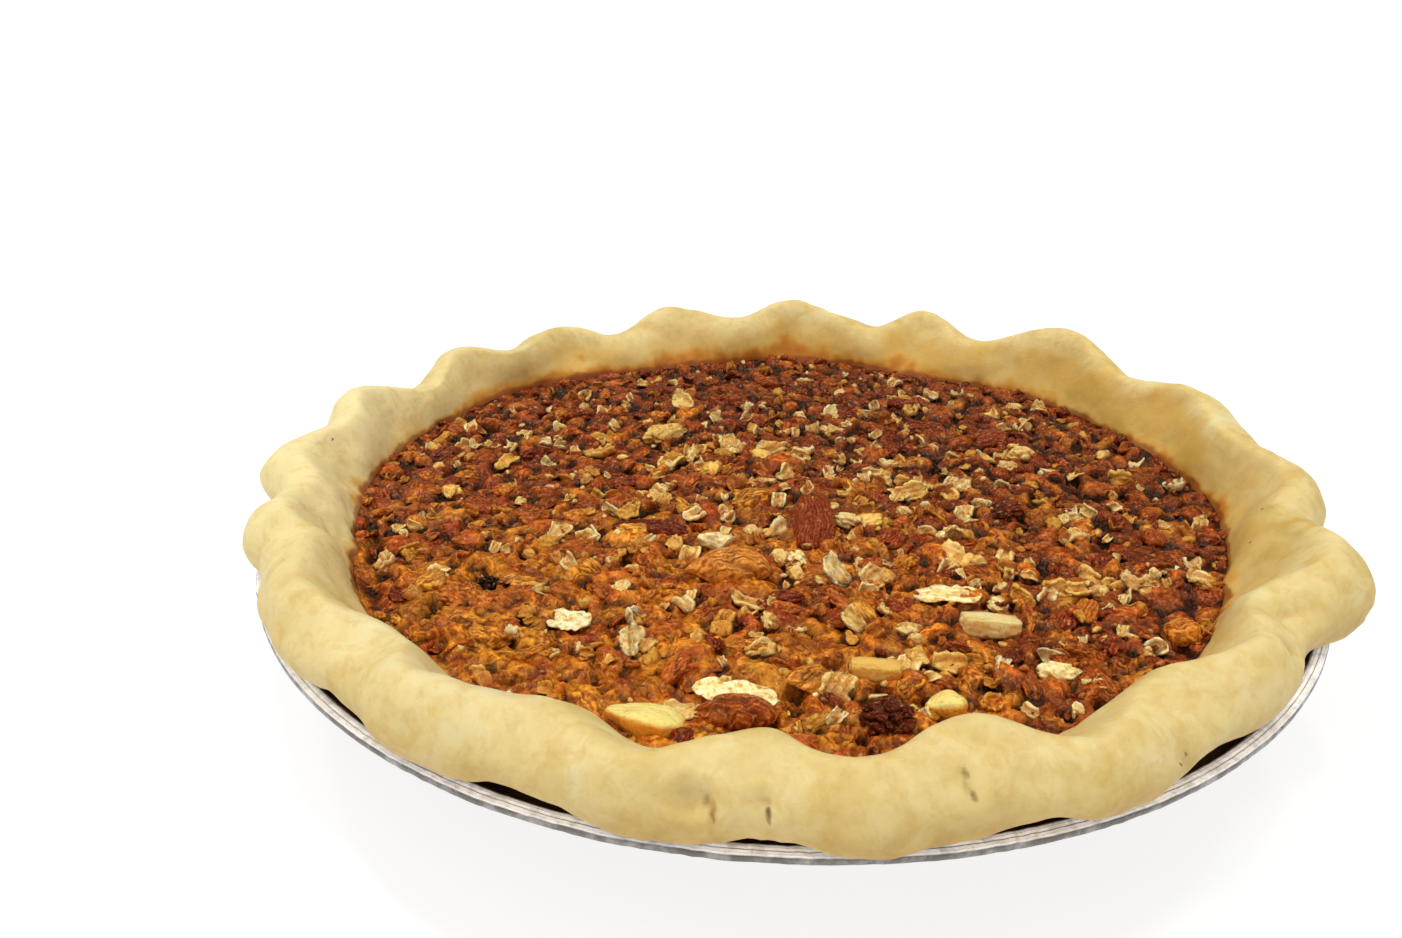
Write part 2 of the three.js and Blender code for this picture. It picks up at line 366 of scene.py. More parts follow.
EDGE_WAVES = [(1, 0.44, 303), (2, 0.74, 15), (3, 1.11, 293), (5, 0.86, 315), (6, 0.5, 225), (7, 0.46, 124), (8, 0.81, 40), (9, 0.45, 318)]


def rim(az):
    """Reach, crest radius, crest height and flute (1 pushed out, 0 pinched in) at azimuths in degrees."""
    a = np.concatenate([KNOTS[:, 0] - 360, KNOTS[:, 0], KNOTS[:, 0] + 360])
    v = np.concatenate([KNOTS[:, 1:]] * 3)
    k = np.clip(np.searchsorted(a, az, side="right") - 1, 0, len(a) - 2)
    s = (1 - np.cos(np.pi * (az - a[k]) / (a[k + 1] - a[k]))) / 2
    return (v[k] + (v[k + 1] - v[k]) * s[..., None]).T


def filling_edge(az):
    return 96.9 + sum(a * np.cos(np.radians(k * az + p)) for k, a, p in EDGE_WAVES)


def tin_inside(z):
    z1, r1 = TIN_FLANGE_Z - 0.7 - 0.9, TIN_FLANGE_IN_R - 1.2 - 0.525
    r0 = TIN_CORNER_R - 0.7
    return r0 + (z - 1.9) / (z1 - 1.9) * (r1 - r0)


N_AZ = 770
# Where the rope lifts clear of the rim: azimuth, half width in degrees, lift in mm
LIFTS = [(219.6, 2.4, 1.3), (225.6, 2.6, 1.2), (247.0, 4.6, 2.2), (265.4, 3.6, 1.9), (285.0, 3.4, 2.4), (302.0, 4.6, 2.6), (322.0, 2.6, 1.4)]


def crust_grid():
    az = np.arange(N_AZ) / N_AZ * 360.0 - 180.0
    reach, crest_r, crest_z, flute = rim(az)
    edge = filling_edge(az)
    one = np.ones_like(az)
    wobble = 0.25 * noise(np.stack([az, 0 * az, 0 * az], -1), 2.2, 101)
    under0 = TIN_FLANGE_Z + GAP + 0.25
    lift = sum(h * np.exp(-(((az % 360 - a) / w) ** 2)) for a, w, h in LIFTS)
    under = under0 + 0.9 * (1 - flute) + lift
    h, hi, w = crest_z - under, crest_z - EDGE_Z, crest_r - edge
    P = lambda r, z: np.stack([r * one, z * one], -1)
    # the section of the rope, from the wall's outside over the crest to the filling
    rope = [
        P(tin_inside(26.4) + 1.2, under0),
        P(reach - 5.2 + 0.8 * (1 - flute), under),
        P(reach - 1.4 + 0.6 * (1 - flute), under + 1.9 - 0.7 * (1 - flute) + wobble),
        P(reach, under + 0.42 * h),
        P(reach - 0.9, crest_z - 0.36 * h),
        P(reach - 0.42 * (reach - crest_r), crest_z - 0.12 * h),
        P(crest_r, crest_z),
        P(crest_r - 0.36 * w, crest_z - (0.12 + 0.18 * flute) * hi),
        P(crest_r - 0.72 * w, crest_z - (0.48 + 0.24 * flute) * hi),
        P(edge + 0.3, EDGE_Z),
        P(edge - 2.2, EDGE_Z - 4.5),
    ]
    counts = [6, 5, 6, 7, 7, 8, 9, 9, 8, 5]
    grid = catmull(np.stack(rope, 1), counts)
    base_top = 0.7 + GAP + BASE_T
    below = [P(tin_inside(26.4) - 1.7, 26.4), P(tin_inside(14.0) - 1.5, 14.0), P(tin_inside(2.6) - 1.1, 2.6), P(TIN_BASE_R - 1.0, 0.7 + GAP)]
    inner = [P(edge - 9.0, 16.0), P(base_top * 0.9 + 75.5, base_top + 2.4), P(75.2, base_top)]
    full = np.concatenate([np.stack(below[::-1], 1), grid, np.stack(inner, 1)], 1)
    n_below = len(below)
    t = np.concatenate([np.full(n_below, -1.0), np.linspace(0, 1, grid.shape[1]), np.full(len(inner), 2.0)])
    ca, sa = np.cos(np.radians(az))[:, None], np.sin(np.radians(az))[:, None]
    P3 = np.stack([full[..., 0] * ca, full[..., 0] * sa, full[..., 1]], -1)
    return az, P3, t, flute, edge, crest_z


# Dents that the maker's fingers left: point on the crust, reach in mm, depth in mm
DENTS = [
    ((-19.6, -113.6, 38.6), 3.2, 1.9),
    ((-22.0, -113.0, 40.0), 6.0, 0.6),
    ((-10.6, -114.9, 38.0), 2.6, 0.7),
    ((16.6, -112.6, 41.0), 4.0, 0.45),
    ((84.0, -69.0, 40.4), 5.0, 0.9),
    ((78.6, -80.0, 40.6), 3.4, 1.2),
    ((53.0, -102.0, 38.0), 3.4, 0.6),
    ((-86.0, -72.0, 40.0), 6.0, 0.6),
    ((-104.0, -24.0, 41.0), 7.0, 0.6),
    ((-58.9, 85.8, 36.4), 8.0, 0.5),
    ((3.3, 100.9, 35.4), 8.0, 0.4),
    ((89.2, 47.6, 36.7), 9.0, 0.5),
]
# Folds where the dough laps over itself: two ends, depth in mm, half width in mm
CREASES = [
    ((-17.6, -113.6, 40.6), (-16.8, -115.3, 36.6), 1.5, 0.8),
    ((-9.6, -114.7, 39.8), (-8.2, -114.9, 33.8), 1.2, 0.85),
    ((18.0, -111.5, 42.3), (19.1, -114.8, 38.9), 0.7, 0.75),
    ((78.2, -80.3, 41.4), (80.6, -78.8, 39.0), 1.1, 0.9),
    ((78.0, -70.8, 42.0), (89.0, -66.2, 40.0), 0.55, 1.4),
    ((51.6, -103.0, 37.6), (54.2, -102.0, 35.4), 0.5, 0.7),
    ((-96.8, -26.1, 35.9), (-88.0, -41.1, 30.5), 0.5, 1.0),
    ((100.0, -62.0, 35.6), (106.0, -56.0, 33.6), 0.9, 0.9),
]
# Thin cracks and specks, drawn by the material with painted shade in the cracks: two ends, half width in mm
CRACKS = [
    ((17.8, -111.0, 42.5), (18.6, -113.3, 40.7), 0.55),
    ((18.4, -112.9, 41.0), (19.4, -115.2, 38.6), 0.52),
    ((-17.5, -113.5, 40.8), (-16.4, -115.8, 36.2), 0.55),
    ((-9.4, -114.9, 39.2), (-8.7, -116.0, 36.2), 0.40),
    ((52.6, -102.1, 38.2), (54.0, -102.3, 35.6), 0.22),
    ((51.0, -103.5, 36.4), (53.0, -102.9, 35.6), 0.20),
    ((78.8, -79.9, 40.9), (80.6, -78.9, 39.2), 0.45),
    ((98.0, -26.6, 39.2), (98.7, -26.2, 39.4), 0.45),
    ((92.6, -35.1, 36.2), (93.2, -34.8, 36.0), 0.32),
    ((-105.3, 8.2, 40.3), (-104.8, 8.2, 40.1), 0.45),
    ((-103.6, 6.0, 39.6), (-103.2, 6.1, 39.5), 0.30),
]


def segment_distance(P, a, b):
    a, b = np.array(a), np.array(b)
    d = b - a
    t = np.clip(((P - a) @ d) / (d @ d), 0, 1)
    return np.linalg.norm(P - (a + t[..., None] * d), axis=-1), t


def build_crust(material):
    az, P, t, flute, edge, crest_z = crust_grid()
    n, m = P.shape[:2]
    N = normals_of(P)
    # outward: away from the rope's core
    core = np.stack([np.cos(np.radians(az)) * 107, np.sin(np.radians(az)) * 107, np.full(n, 35.0)], -1)[:, None]
    flip = np.sign(np.sum(N * (P - core), -1).mean())
    N *= flip
    on = (t >= 0) & (t <= 1)
    live = np.where(on, smooth(0.0, 0.10, t) * (1 - 0.5 * smooth(0.93, 1.0, t)), 0.0)[None, :]
    F = flute[:, None]
    rope_scale = fbm(P, 21.0, 2, 3) * 0.95 + noise(P, 9.0, 11) * 0.60 + noise(P, 5.2, 12) * 0.26 + noise(P, 2.4, 13) * 0.07
    d = live * rope_scale
    # the crumbly lower part of the inner wall, where the filling bubbled against it
    low = smooth(0.80, 0.95, t)[None, :] * live
    d = d + low * (noise(P, 3.4, 31) * 0.5 + noise(P, 1.7, 32) * 0.22)
    # painted shade in the dents and folds: crease is how much the material darkens each point
    crease = np.zeros((n, m))
    for at, reach_mm, depth in DENTS:
        q = np.linalg.norm(P - np.array(at), axis=-1) / reach_mm
        d = d - live * depth * np.exp(-q * q * 1.6) + live * 0.25 * depth * np.exp(-((q - 1.25) ** 2) * 6)
        if depth > 0.65:
            crease = np.maximum(crease, 0.30 * min(depth, 1.3) * np.exp(-q * q * 1.1))
    for a, b, depth, half in CREASES:
        q, u = segment_distance(P + 0.7 * np.stack([noise(P, 5, 41), noise(P, 5, 42), noise(P, 5, 43)], -1), a, b)
        fade = 1 - 0.6 * np.abs(2 * u - 1)
        d = d - live * depth * fade * np.exp(-((q / half) ** 2)) + live * 0.25 * depth * np.exp(-(((q - 2.2 * half) / half) ** 2))
        crease = np.maximum(crease, fade * depth * np.exp(-((q / (0.8 * half)) ** 2)))
    P = P + N * d[..., None]
    # browning: golden all down the inner wall, orange towards the filling, a thin dark line where they meet
    A = az[:, None]
    height = P[..., 2] - EDGE_Z
    side = smooth(0.60, 0.70, t)[None, :] * np.ones((n, 1))
    back = 0.5 + 0.5 * np.cos(np.radians(A - 92))
    rise = np.clip(height / np.maximum(crest_z[:, None] - EDGE_Z, 1.0), 0, 1.2)
    # most on the far side and a little to its left, least on the right
    burn = 0.5 + 0.5 * np.cos(np.radians(A - 100))
    burn = np.clip(burn - 0.42 * np.exp(-(((A - 38) / 26) ** 2)) - 0.24 * np.exp(-(((A - 148) / 26) ** 2)), 0, 1)
    left = np.exp(-((((A - 178 + 180) % 360 - 180) / 46) ** 2))
    streak = noise(P * [1, 1, 0.35], 2.6, 56)
    ragged = noise(P * [1, 1, 0.5], 6.5, 57)
    reach_up = 0.17 + 0.48 * burn * (0.6 + 0.4 * F) + 0.22 * noise(P, 11.0, 51) + 0.20 * noise(P, 4.5, 52) + 0.10 * streak + 0.12 * ragged
    brown = side * (1 - smooth(0.0, 1.0, rise / np.maximum(reach_up, 0.07))) * (0.40 + 0.52 * burn + 0.36 * noise(P, 7.0, 53) + 0.26 * streak) * (1 - 0.30 * left)
    golden = side * (1 - smooth(0.45, 1.05, rise)) * (0.55 + 0.45 * back) * (1 - 0.75 * left)
    contact = side * smooth(1.9, 0.0, height + 0.8 * noise(P, 6.0, 54) + 0.5 * noise(P, 1.8, 55))
    # the lower outside of the rope, which the material darkens: browning and painted shade
    outside = (t < 0.5)[None, :] * smooth(0.80, 0.10, (P[..., 2] - 29.0) / (crest_z[:, None] - 29.0)) * (1 - 0.6 * left)
    right = np.exp(-(((A - 22) / 48) ** 2)) * smooth(0.42, 0.55, t)[None, :]
    toast = np.clip(0.40 * np.clip(noise(P, 13.0, 61) + 0.2, 0, 1) + 0.62 * golden + right * (0.10 + 0.75 * np.clip(fbm(P, 12.0, 2, 63), 0, 1)), 0, 1)
    # burnt syrup on the underside by the flange, and painted shade for the dark gap under the rope
    burn_and_shade = (t < 0.30)[None, :] * smooth(31.2, 29.6, P[..., 2])
    # poles that close the shell
    V = np.concatenate([P.reshape(-1, 3), [[0, 0, 0.7 + GAP], [0, 0, 0.7 + GAP + BASE_T]]])
    quads = ring_faces(n, m)
    i = np.arange(n)
    lo, hi = n * m, n * m + 1
    caps = np.concatenate([
        np.stack([np.full(n, lo), ((i + 1) % n) * m, i * m], -1),
        np.stack([i * m + m - 1, ((i + 1) % n) * m + m - 1, np.full(n, hi)], -1),
    ])
    flat = lambda x: np.concatenate([np.broadcast_to(x, (n, m)).ravel(), [0, 0]])
    o = new_mesh("crust_pastry", V, [quads, caps], material,
                 attrs={"pale": flat(left ** 1.6 * (t < 0.98)[None, :]), "brown": flat(brown), "toast": flat(toast), "crease": flat(crease), "contact": flat(contact), "burn_and_shade": flat(burn_and_shade), "low": flat(outside)})
    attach(o, "root")
    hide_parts("crust")
    return o


def pastry_material():
    s = Shader("pastry")
    blotch = s.noise(17, 3, 0.55, 0.3)
    small = s.noise(4.6, 4, 0.62, 0.4)
    grain = s.noise(0.9, 2, 0.6)
    base = s.ramp(s.math("ADD", s.math("MULTIPLY", blotch, 0.6), s.math("MULTIPLY", small, 0.4)), [
        (0.34, srgb(208, 176, 98)),
        (0.44, srgb(223, 198, 128)),
        (0.54, srgb(232, 211, 147)),
        (0.66, srgb(235, 222, 172)),
    ])
    base = s.mix(s.math("MULTIPLY", s.attr("pale"), 0.75), base, srgb(250, 235, 176))
    toast = s.math("ADD", s.attr("toast"), s.math("MULTIPLY", s.math("SUBTRACT", small, 0.5), 0.8))
    base = s.mix(s.range(toast, 0.12, 1.05, 0.0, 0.95), base, srgb(218, 176, 88))
    # ochre freckles, more of them where it is toasted
    freckle = s.math("ADD", s.noise(3.4, 5, 0.66, 0.5), s.math("MULTIPLY", s.attr("toast"), 0.10))
    base = s.mix(s.range(freckle, 0.46, 0.74, 0.0, 0.34), base, srgb(206, 160, 70))
    base = s.mix(s.range(s.noise(8.5, 4, 0.7, 0.8), 0.52, 0.72, 0.0, 0.40), base, srgb(222, 186, 96))
    base = s.mix(s.math("MULTIPLY", s.attr("low"), s.range(s.noise(5.5, 4, 0.65, 0.6), 0.46, 0.64, 0.0, 0.42)), base, srgb(206, 164, 88))
    # browning and painted shade: the lower outside of the rope is darker
    base = s.mix(s.attr("low"), base, s.mix(1.0, base, (0.74, 0.635, 0.47), "MULTIPLY"))
    stain_at = s.math("ADD", s.attr("brown"), s.math("MULTIPLY", s.math("SUBTRACT", small, 0.5), 0.55))
    stain = s.ramp(stain_at, [
        (0.08, srgb(230, 192, 100)),
        (0.34, srgb(222, 168, 68)),
        (0.62, srgb(208, 140, 44)),
        (0.92, srgb(188, 110, 24)),
    ])
    base = s.mix(s.range(stain_at, 0.0, 0.72), base, stain)
    base = s.mix(s.range(s.math("ADD", s.attr("contact"), s.math("MULTIPLY", s.math("SUBTRACT", small, 0.5), 0.6)), 0.25, 1.0, 0.0, 0.80), base, srgb(142, 68, 20))
    # painted shade in the dents and folds
    base = s.mix(s.range(s.attr("crease"), 0.1, 0.9, 0.0, 0.6), base, srgb(176, 128, 62))
    # burnt syrup and painted shade on the underside by the flange
    base = s.mix(s.attr("burn_and_shade"), base, srgb(58, 34, 20))
    warp = s.node("ShaderNodeTexNoise")
    warp.inputs["Scale"].default_value = 700
    s.put(warp.inputs["Vector"], s.coord)
    coord = s.vector("ADD", s.coord, s.vector("SCALE", s.vector("SUBTRACT", warp.outputs["Color"], (0.5, 0.5, 0.5)), scale=0.0008))
    # cracks and specks: dark lines, painted shade in the cracks, also bumped in
    crack_shade = 0.0
    for a, b, half in CRACKS:
        crack_shade = s.math("MAXIMUM", crack_shade, s.line(coord, a, b, half))
    base = s.mix(s.math("MULTIPLY", crack_shade, 0.85), base, srgb(112, 68, 26))
    normal = s.bump(grain, 0.12, 0.5)
    normal = s.bump(small, 0.55, 0.35, normal)
    normal = s.bump(s.math("MULTIPLY", crack_shade, -1.0), 0.5, 0.8, normal)
    s.set(base=base, rough=s.range(small, 0.3, 0.7, 0.50, 0.66), spec=0.32, sss=0.40, sss_radius=(1.0, 0.62, 0.30), sss_scale=0.004,
          normal=normal)
    return s.m


# ---------------------------------------------------------------------------------------------------------------------
# the foil tin
# ---------------------------------------------------------------------------------------------------------------------


def build_tin(material):
    n = 480
    az = np.arange(n) / n * 360.0
    f = 0.28  # foil with its lacquer and dents
    prof = [
        (0.5, 0.0), (30, 0.0), (60, 0.0), (74, 0.0), (TIN_BASE_R, 0.0), (TIN_BASE_R + 1.7, 0.35), (TIN_CORNER_R - 0.2, 1.35),
        (86.2, 4.2), (89.4, 8.0), (92.6, 11.8), (95.8, 15.6), (99.0, 19.4), (102.2, 23.2), (105.2, 26.7), (TIN_FLANGE_IN_R + 0.1, 28.05),
        (108.8, 28.2), (110.4, 28.2), (112.0, 28.3), (113.2, 28.3), (113.7, 28.15), (114.0, 27.9),
        (114.25, 27.62), (114.6, 27.5), (114.9, 27.66), (115.0, 28.1), (114.98, 28.55), (114.82, 28.85), (114.5, 28.97), (113.9, 28.95), (113.2, 28.98),
        (112.6, 28.97), (111.9, 28.68), (111.0, 28.5), (110.0, 28.42), (108.8, 28.45), (TIN_FLANGE_IN_R - 0.1, 28.3), (105.0, 27.0), (101.9, 23.45),
        (98.7, 19.65), (95.5, 15.85), (92.3, 12.05), (89.1, 8.25), (85.9, 4.45), (TIN_CORNER_R - 0.6, 1.75), (TIN_BASE_R + 1.2, 0.68),
        (TIN_BASE_R - 0.3, f), (60, f), (0.5, f),
    ]
    prof = np.array(prof)
    # finer steps along the profile
    fine = catmull(prof[None], [1 if max(prof[i][0], prof[i + 1][0]) < 84 else 4 if 26 < i < 33 else 2 for i in range(len(prof) - 1)])[0]
    m = len(fine)
    R = np.repeat(fine[None, :, 0], n, 0)
    Z = np.repeat(fine[None, :, 1], n, 0)
    A = np.radians(az)[:, None]
    x, y = R * np.cos(A), R * np.sin(A)
    Q = np.stack([x, y, Z], -1)
    wall = smooth(82, 86, R) * (1 - smooth(104.5, 107.5, R))
    # the pressed wall: pleats from the press, uneven, deeper towards the top
    ang = np.degrees(A) + 1.3 * noise(np.stack([np.cos(A) * 40, np.sin(A) * 40, 0 * A], -1), 12, 5)
    pleat = np.abs(((ang / 360 * 96) % 1.0) - 0.5) * 2
    pleat = smooth(0.15, 0.85, pleat) - 0.5
    depth = 0.55 + 0.30 * noise(Q * [1, 1, 0.2], 17, 6)
    grow = smooth(84, 100, R)
    dr = -wall * grow * depth * (0.5 - pleat)
    # hand dents and fine crumple
    dr = dr + wall * (0.45 * np.clip(fbm(Q, 26, 2, 8), -1, 0.2) + 0.10 * noise(Q, 5, 9))
    flange = smooth(106.8, 108.2, R)
    crimp = np.sin(np.radians(ang) * 210 + 1.5 * noise(Q, 6, 10))
    dz = flange * (0.05 * crimp + 0.12 * noise(Q, 4, 14) + 0.09 * noise(Q, 1.8, 15))
    # the rim is crumpled at the near left
    crumple = np.exp(-(((np.degrees(A) - 204) / 5.5) ** 2)) * flange
    dz = dz + crumple * (0.55 * noise(Q * [1, 1, 0.3], 3.0, 24) + 0.3 * noise(Q, 1.5, 25) - 0.15)
    rimk = smooth(114.0, 114.6, R)
    dz = dz + rimk * (0.10 * noise(Q, 7, 16) + 0.05 * noise(Q, 2.2, 18)) + flange * 0.12 * noise(Q, 40, 19)
    dr = dr + rimk * (0.10 * noise(Q, 9, 20) - 0.10) - np.abs(crumple * 0.8 * noise(Q * [1, 1, 0.3], 2.6, 26))
    base = 1 - smooth(76, 80, R)
    dz = dz + base * (1 - smooth(10, 60, np.abs(R - 40) * 1.0)) * 0.0
    # pressed rings in the base stay above the surface it stands on
    dz = dz + base * 0.35 * (np.exp(-((R - 66) / 2.2) ** 2) + np.exp(-((R - 30) / 2.2) ** 2))
    R2, Z2 = R + dr, np.maximum(Z + dz, 0.0)
    P = np.stack([R2 * np.cos(A), R2 * np.sin(A), Z2], -1)
    V = np.concatenate([P.reshape(-1, 3), [[0, 0, 0.0], [0, 0, f]]])
    i = np.arange(n)
    caps = np.concatenate([
        np.stack([np.full(n, n * m), ((i + 1) % n) * m, i * m], -1),
        np.stack([i * m + m - 1, ((i + 1) % n) * m + m - 1, np.full(n, n * m + 1)], -1),
    ])
    # syrup and flour burnt on where the crust hangs over, and painted shade in the dark gap under the crust
    top = (Z > 27.7) & (np.arange(m)[None, :] > m // 3)
    burn_and_shade = smooth(112.75, 112.25, R + 0.30 * noise(Q, 7, 27) + 0.25 * noise(Q, 1.6, 28)) * smooth(106.0, 107.5, R) * top
    burn_and_shade = np.concatenate([burn_and_shade.ravel(), [0, 0]])
    # painted shade: dark pressed lines round the flange, the shaded outside of the rolled rim, and the valleys of the
    # pleats in the wall
    groove = np.exp(-(((R - 113.75 + 0.08 * noise(Q, 9, 29)) / 0.10) ** 2)) + 0.7 * np.exp(-(((R - 113.0) / 0.10) ** 2)) + 0.6 * np.exp(-(((R - 114.45) / 0.07) ** 2))
    groove = groove * top
    under = smooth(28.92, 28.72, Z) * smooth(113.3, 113.9, R)
    fold = 0.42 * wall * smooth(88, 101, R) * smooth(0.15, -0.45, pleat) * (0.6 + 0.6 * noise(Q * [1, 1, 0.2], 11, 17))
    foil_shade = np.concatenate([np.clip(0.75 * groove + under + fold, 0, 1).ravel(), [0, 0]])
    # painted light: the top of the rim, which the material paints at full tone and makes glow
    bright = np.concatenate([(smooth(112.4, 113.0, R) * top).ravel(), [0, 0]])
    o = new_mesh("foil_tin", V, [ring_faces(n, m), caps], material, attrs={"burn_and_shade": burn_and_shade, "foil_shade": foil_shade, "rim": bright})
    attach(o, "root")
    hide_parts("pan")
    return o


def foil_material():
    s = Shader("foil")
    crumple = s.noise(3.2, 3, 0.6, 0.6)
    fine = s.noise(1.1, 2, 0.6)
    tone = s.ramp(s.noise(5.0, 4, 0.65), [(0.36, srgb(236, 230, 226)), (0.60, srgb(255, 253, 251))])
    # painted light and shade: the top of the rim keeps its full tone, the rest of the foil is painted a third darker
    tone = s.mix(s.attr("rim"), s.mix(1.0, tone, (0.66, 0.655, 0.65), "MULTIPLY"), tone)
    # painted shade: pressed lines, the outside of the rolled rim and the pleat valleys are darkened
    tone = s.mix(s.math("MULTIPLY", s.attr("foil_shade"), s.range(s.noise(4.0, 3, 0.6), 0.3, 0.6, 0.6, 1.0)), tone, srgb(110, 105, 98))
    # burnt syrup and painted shade in the gap under the crust
    tone = s.mix(s.attr("burn_and_shade"), tone, srgb(44, 26, 16))
    normal = s.bump(crumple, 0.6, 0.6)
    normal = s.bump(fine, 0.15, 0.4, normal)
    # painted light: the top of the rim glows, standing in for the white room it would mirror
    rim = s.math("MULTIPLY", s.attr("rim"), s.range(s.attr("foil_shade"), 0.7, 0.0, 0.0, 1.0))
    glow = s.mix(s.math("MULTIPLY", rim, s.range(s.noise(2.2, 4, 0.7, 0.5), 0.35, 0.60, 0.45, 1.0)), (0.0, 0.0, 0.0), (1.0, 0.965, 0.945))
    s.put(s.p.inputs["Emission Color"], glow)
    s.p.inputs["Emission Strength"].default_value = 0.46
    s.set(base=tone, metal=s.math("MULTIPLY", s.range(s.attr("burn_and_shade"), 0.0, 0.5, 1.0, 0.0), s.range(s.attr("rim"), 0.0, 1.0, 0.82, 0.10)), rough=s.range(fine, 0.3, 0.7, 0.26, 0.42), spec=0.6, normal=normal)
    return s.m


# ---------------------------------------------------------------------------------------------------------------------
# the filling: a glazed, lumpy core with the chopped nuts laid in it
# ---------------------------------------------------------------------------------------------------------------------
RASTER = 0.3  # mm
HALF = 104.0
NPX = int(2 * HALF / RASTER) + 1
MID = (NPX - 1) / 2


def core_level(x, y):
    """Mean height of the set filling, under the lumps."""
    r2 = (x * x + y * y) / 97.0**2
    return EDGE_Z - 0.9 + 1.7 * (1 - r2) + 0.25 * np.sin(x * 0.05 + 1) * np.cos(y * 0.06)


def rotation(rx, ry, rz):
    """Rotation matrix from angles in radians, applied x, y, then z."""
    cx, sx, cy, sy, cz, sz = math.cos(rx), math.sin(rx), math.cos(ry), math.sin(ry), math.cos(rz), math.sin(rz)
    return np.array([
        [cz * cy, cz * sy * sx - sz * cx, cz * sy * cx + sz * sx],
        [sz * cy, sz * sy * sx + cz * cx, sz * sy * cx - cz * sx],
        [-sy, cy * sx, cy * cx],
    ])


def icosphere(level):
    t = (1 + 5**0.5) / 2
    v = [(-1, t, 0), (1, t, 0), (-1, -t, 0), (1, -t, 0), (0, -1, t), (0, 1, t), (0, -1, -t), (0, 1, -t), (t, 0, -1), (t, 0, 1), (-t, 0, -1), (-t, 0, 1)]
    v = [np.array(p) / np.linalg.norm(p) for p in v]
    f = [(0, 11, 5), (0, 5, 1), (0, 1, 7), (0, 7, 10), (0, 10, 11), (1, 5, 9), (5, 11, 4), (11, 10, 2), (10, 7, 6), (7, 1, 8),
         (3, 9, 4), (3, 4, 2), (3, 2, 6), (3, 6, 8), (3, 8, 9), (4, 9, 5), (2, 4, 11), (6, 2, 10), (8, 6, 7), (9, 8, 1)]
    for _ in range(level):
        cache, g = {}, []

        def mid(a, b):
            key = (min(a, b), max(a, b))
            if key not in cache:
                p = v[a] + v[b]
                cache[key] = len(v)
                v.append(p / np.linalg.norm(p))
            return cache[key]

        for a, b, c in f:
            ab, bc, ca = mid(a, b), mid(b, c), mid(c, a)
            g += [(a, ab, ca), (b, bc, ab), (c, ca, bc), (ab, bc, ca)]
        f = g
    return np.array(v), np.array(f, np.int64)


ICO = {k: icosphere(k) for k in (1, 2, 3, 4)}


def nut_shape(level, r, cuts=3, flesh_up=True, crease=0.22, bend=0.0, hollow=0.0, rough=0.10):
    """A piece chopped off a pecan half, in a unit box: the folded outside of the kernel and broken faces of flesh.
    Returns points, faces and how much skin each point has (0 flesh, 1 skin)."""
    D, F = ICO[level]
    k = int(r.integers(1, 99999))
    swirl = np.stack([D[:, 0] * 0.45, D[:, 1], D[:, 2]], -1)
    fold = smooth(0.25, 1.0, 1 - np.abs(noise(swirl, 0.55, k)) * 3.2)
    fold = np.maximum(fold, smooth(0.35, 0.0, np.abs(D[:, 1] + 0.15 * noise(D, 0.8, k + 1)) * 2.2) * (D[:, 2] > -0.2))
    radius = 1 - crease * fold + rough * noise(D, 0.55, k + 2) + 0.5 * rough * noise(D, 0.25, k + 3)
    P = D * radius[:, None] * np.array([1.25, 0.9, 0.8])
    skin = np.ones(len(P))
    for c in range(cuts):
        n = r.normal(size=3) * np.array([1.3, 1.0, 0.35])
        h = r.uniform(0.25, 0.62)
        if c == 0 and flesh_up:
            n, h = np.array([r.normal() * 0.28, r.normal() * 0.28, 1.0]), r.uniform(0.12, 0.42)
        n /= np.linalg.norm(n)
        d = P @ n - h + 0.05 * noise(P, 0.35, k + 7 + c) + 0.05 * noise(P, 0.9, k + 17 + c)
        cut = d > 0
        P = P - np.where(cut, 0.93 * d, 0.0)[:, None] * n
        skin = np.where(d > -0.02, np.minimum(skin, smooth(0.10, -0.02, d)), skin)
    P = P - (P.max(0) + P.min(0)) / 2
    P /= np.abs(P).max(0)
    P[:, 1] += 0.3 * bend * (P[:, 0] ** 2 - 0.4)
    P[:, 2] += bend * (P[:, 0] ** 2 - 0.4)
    P[:, 2] -= hollow * np.exp(-((P[:, 0] / 0.6) ** 2) - (P[:, 1] / 0.5) ** 2) * smooth(-0.3, 0.4, D[:, 2])
    P /= np.abs(P).max(0)
    return P, F, np.clip(skin + 0.35 * fold * (1 - skin), 0, 1)


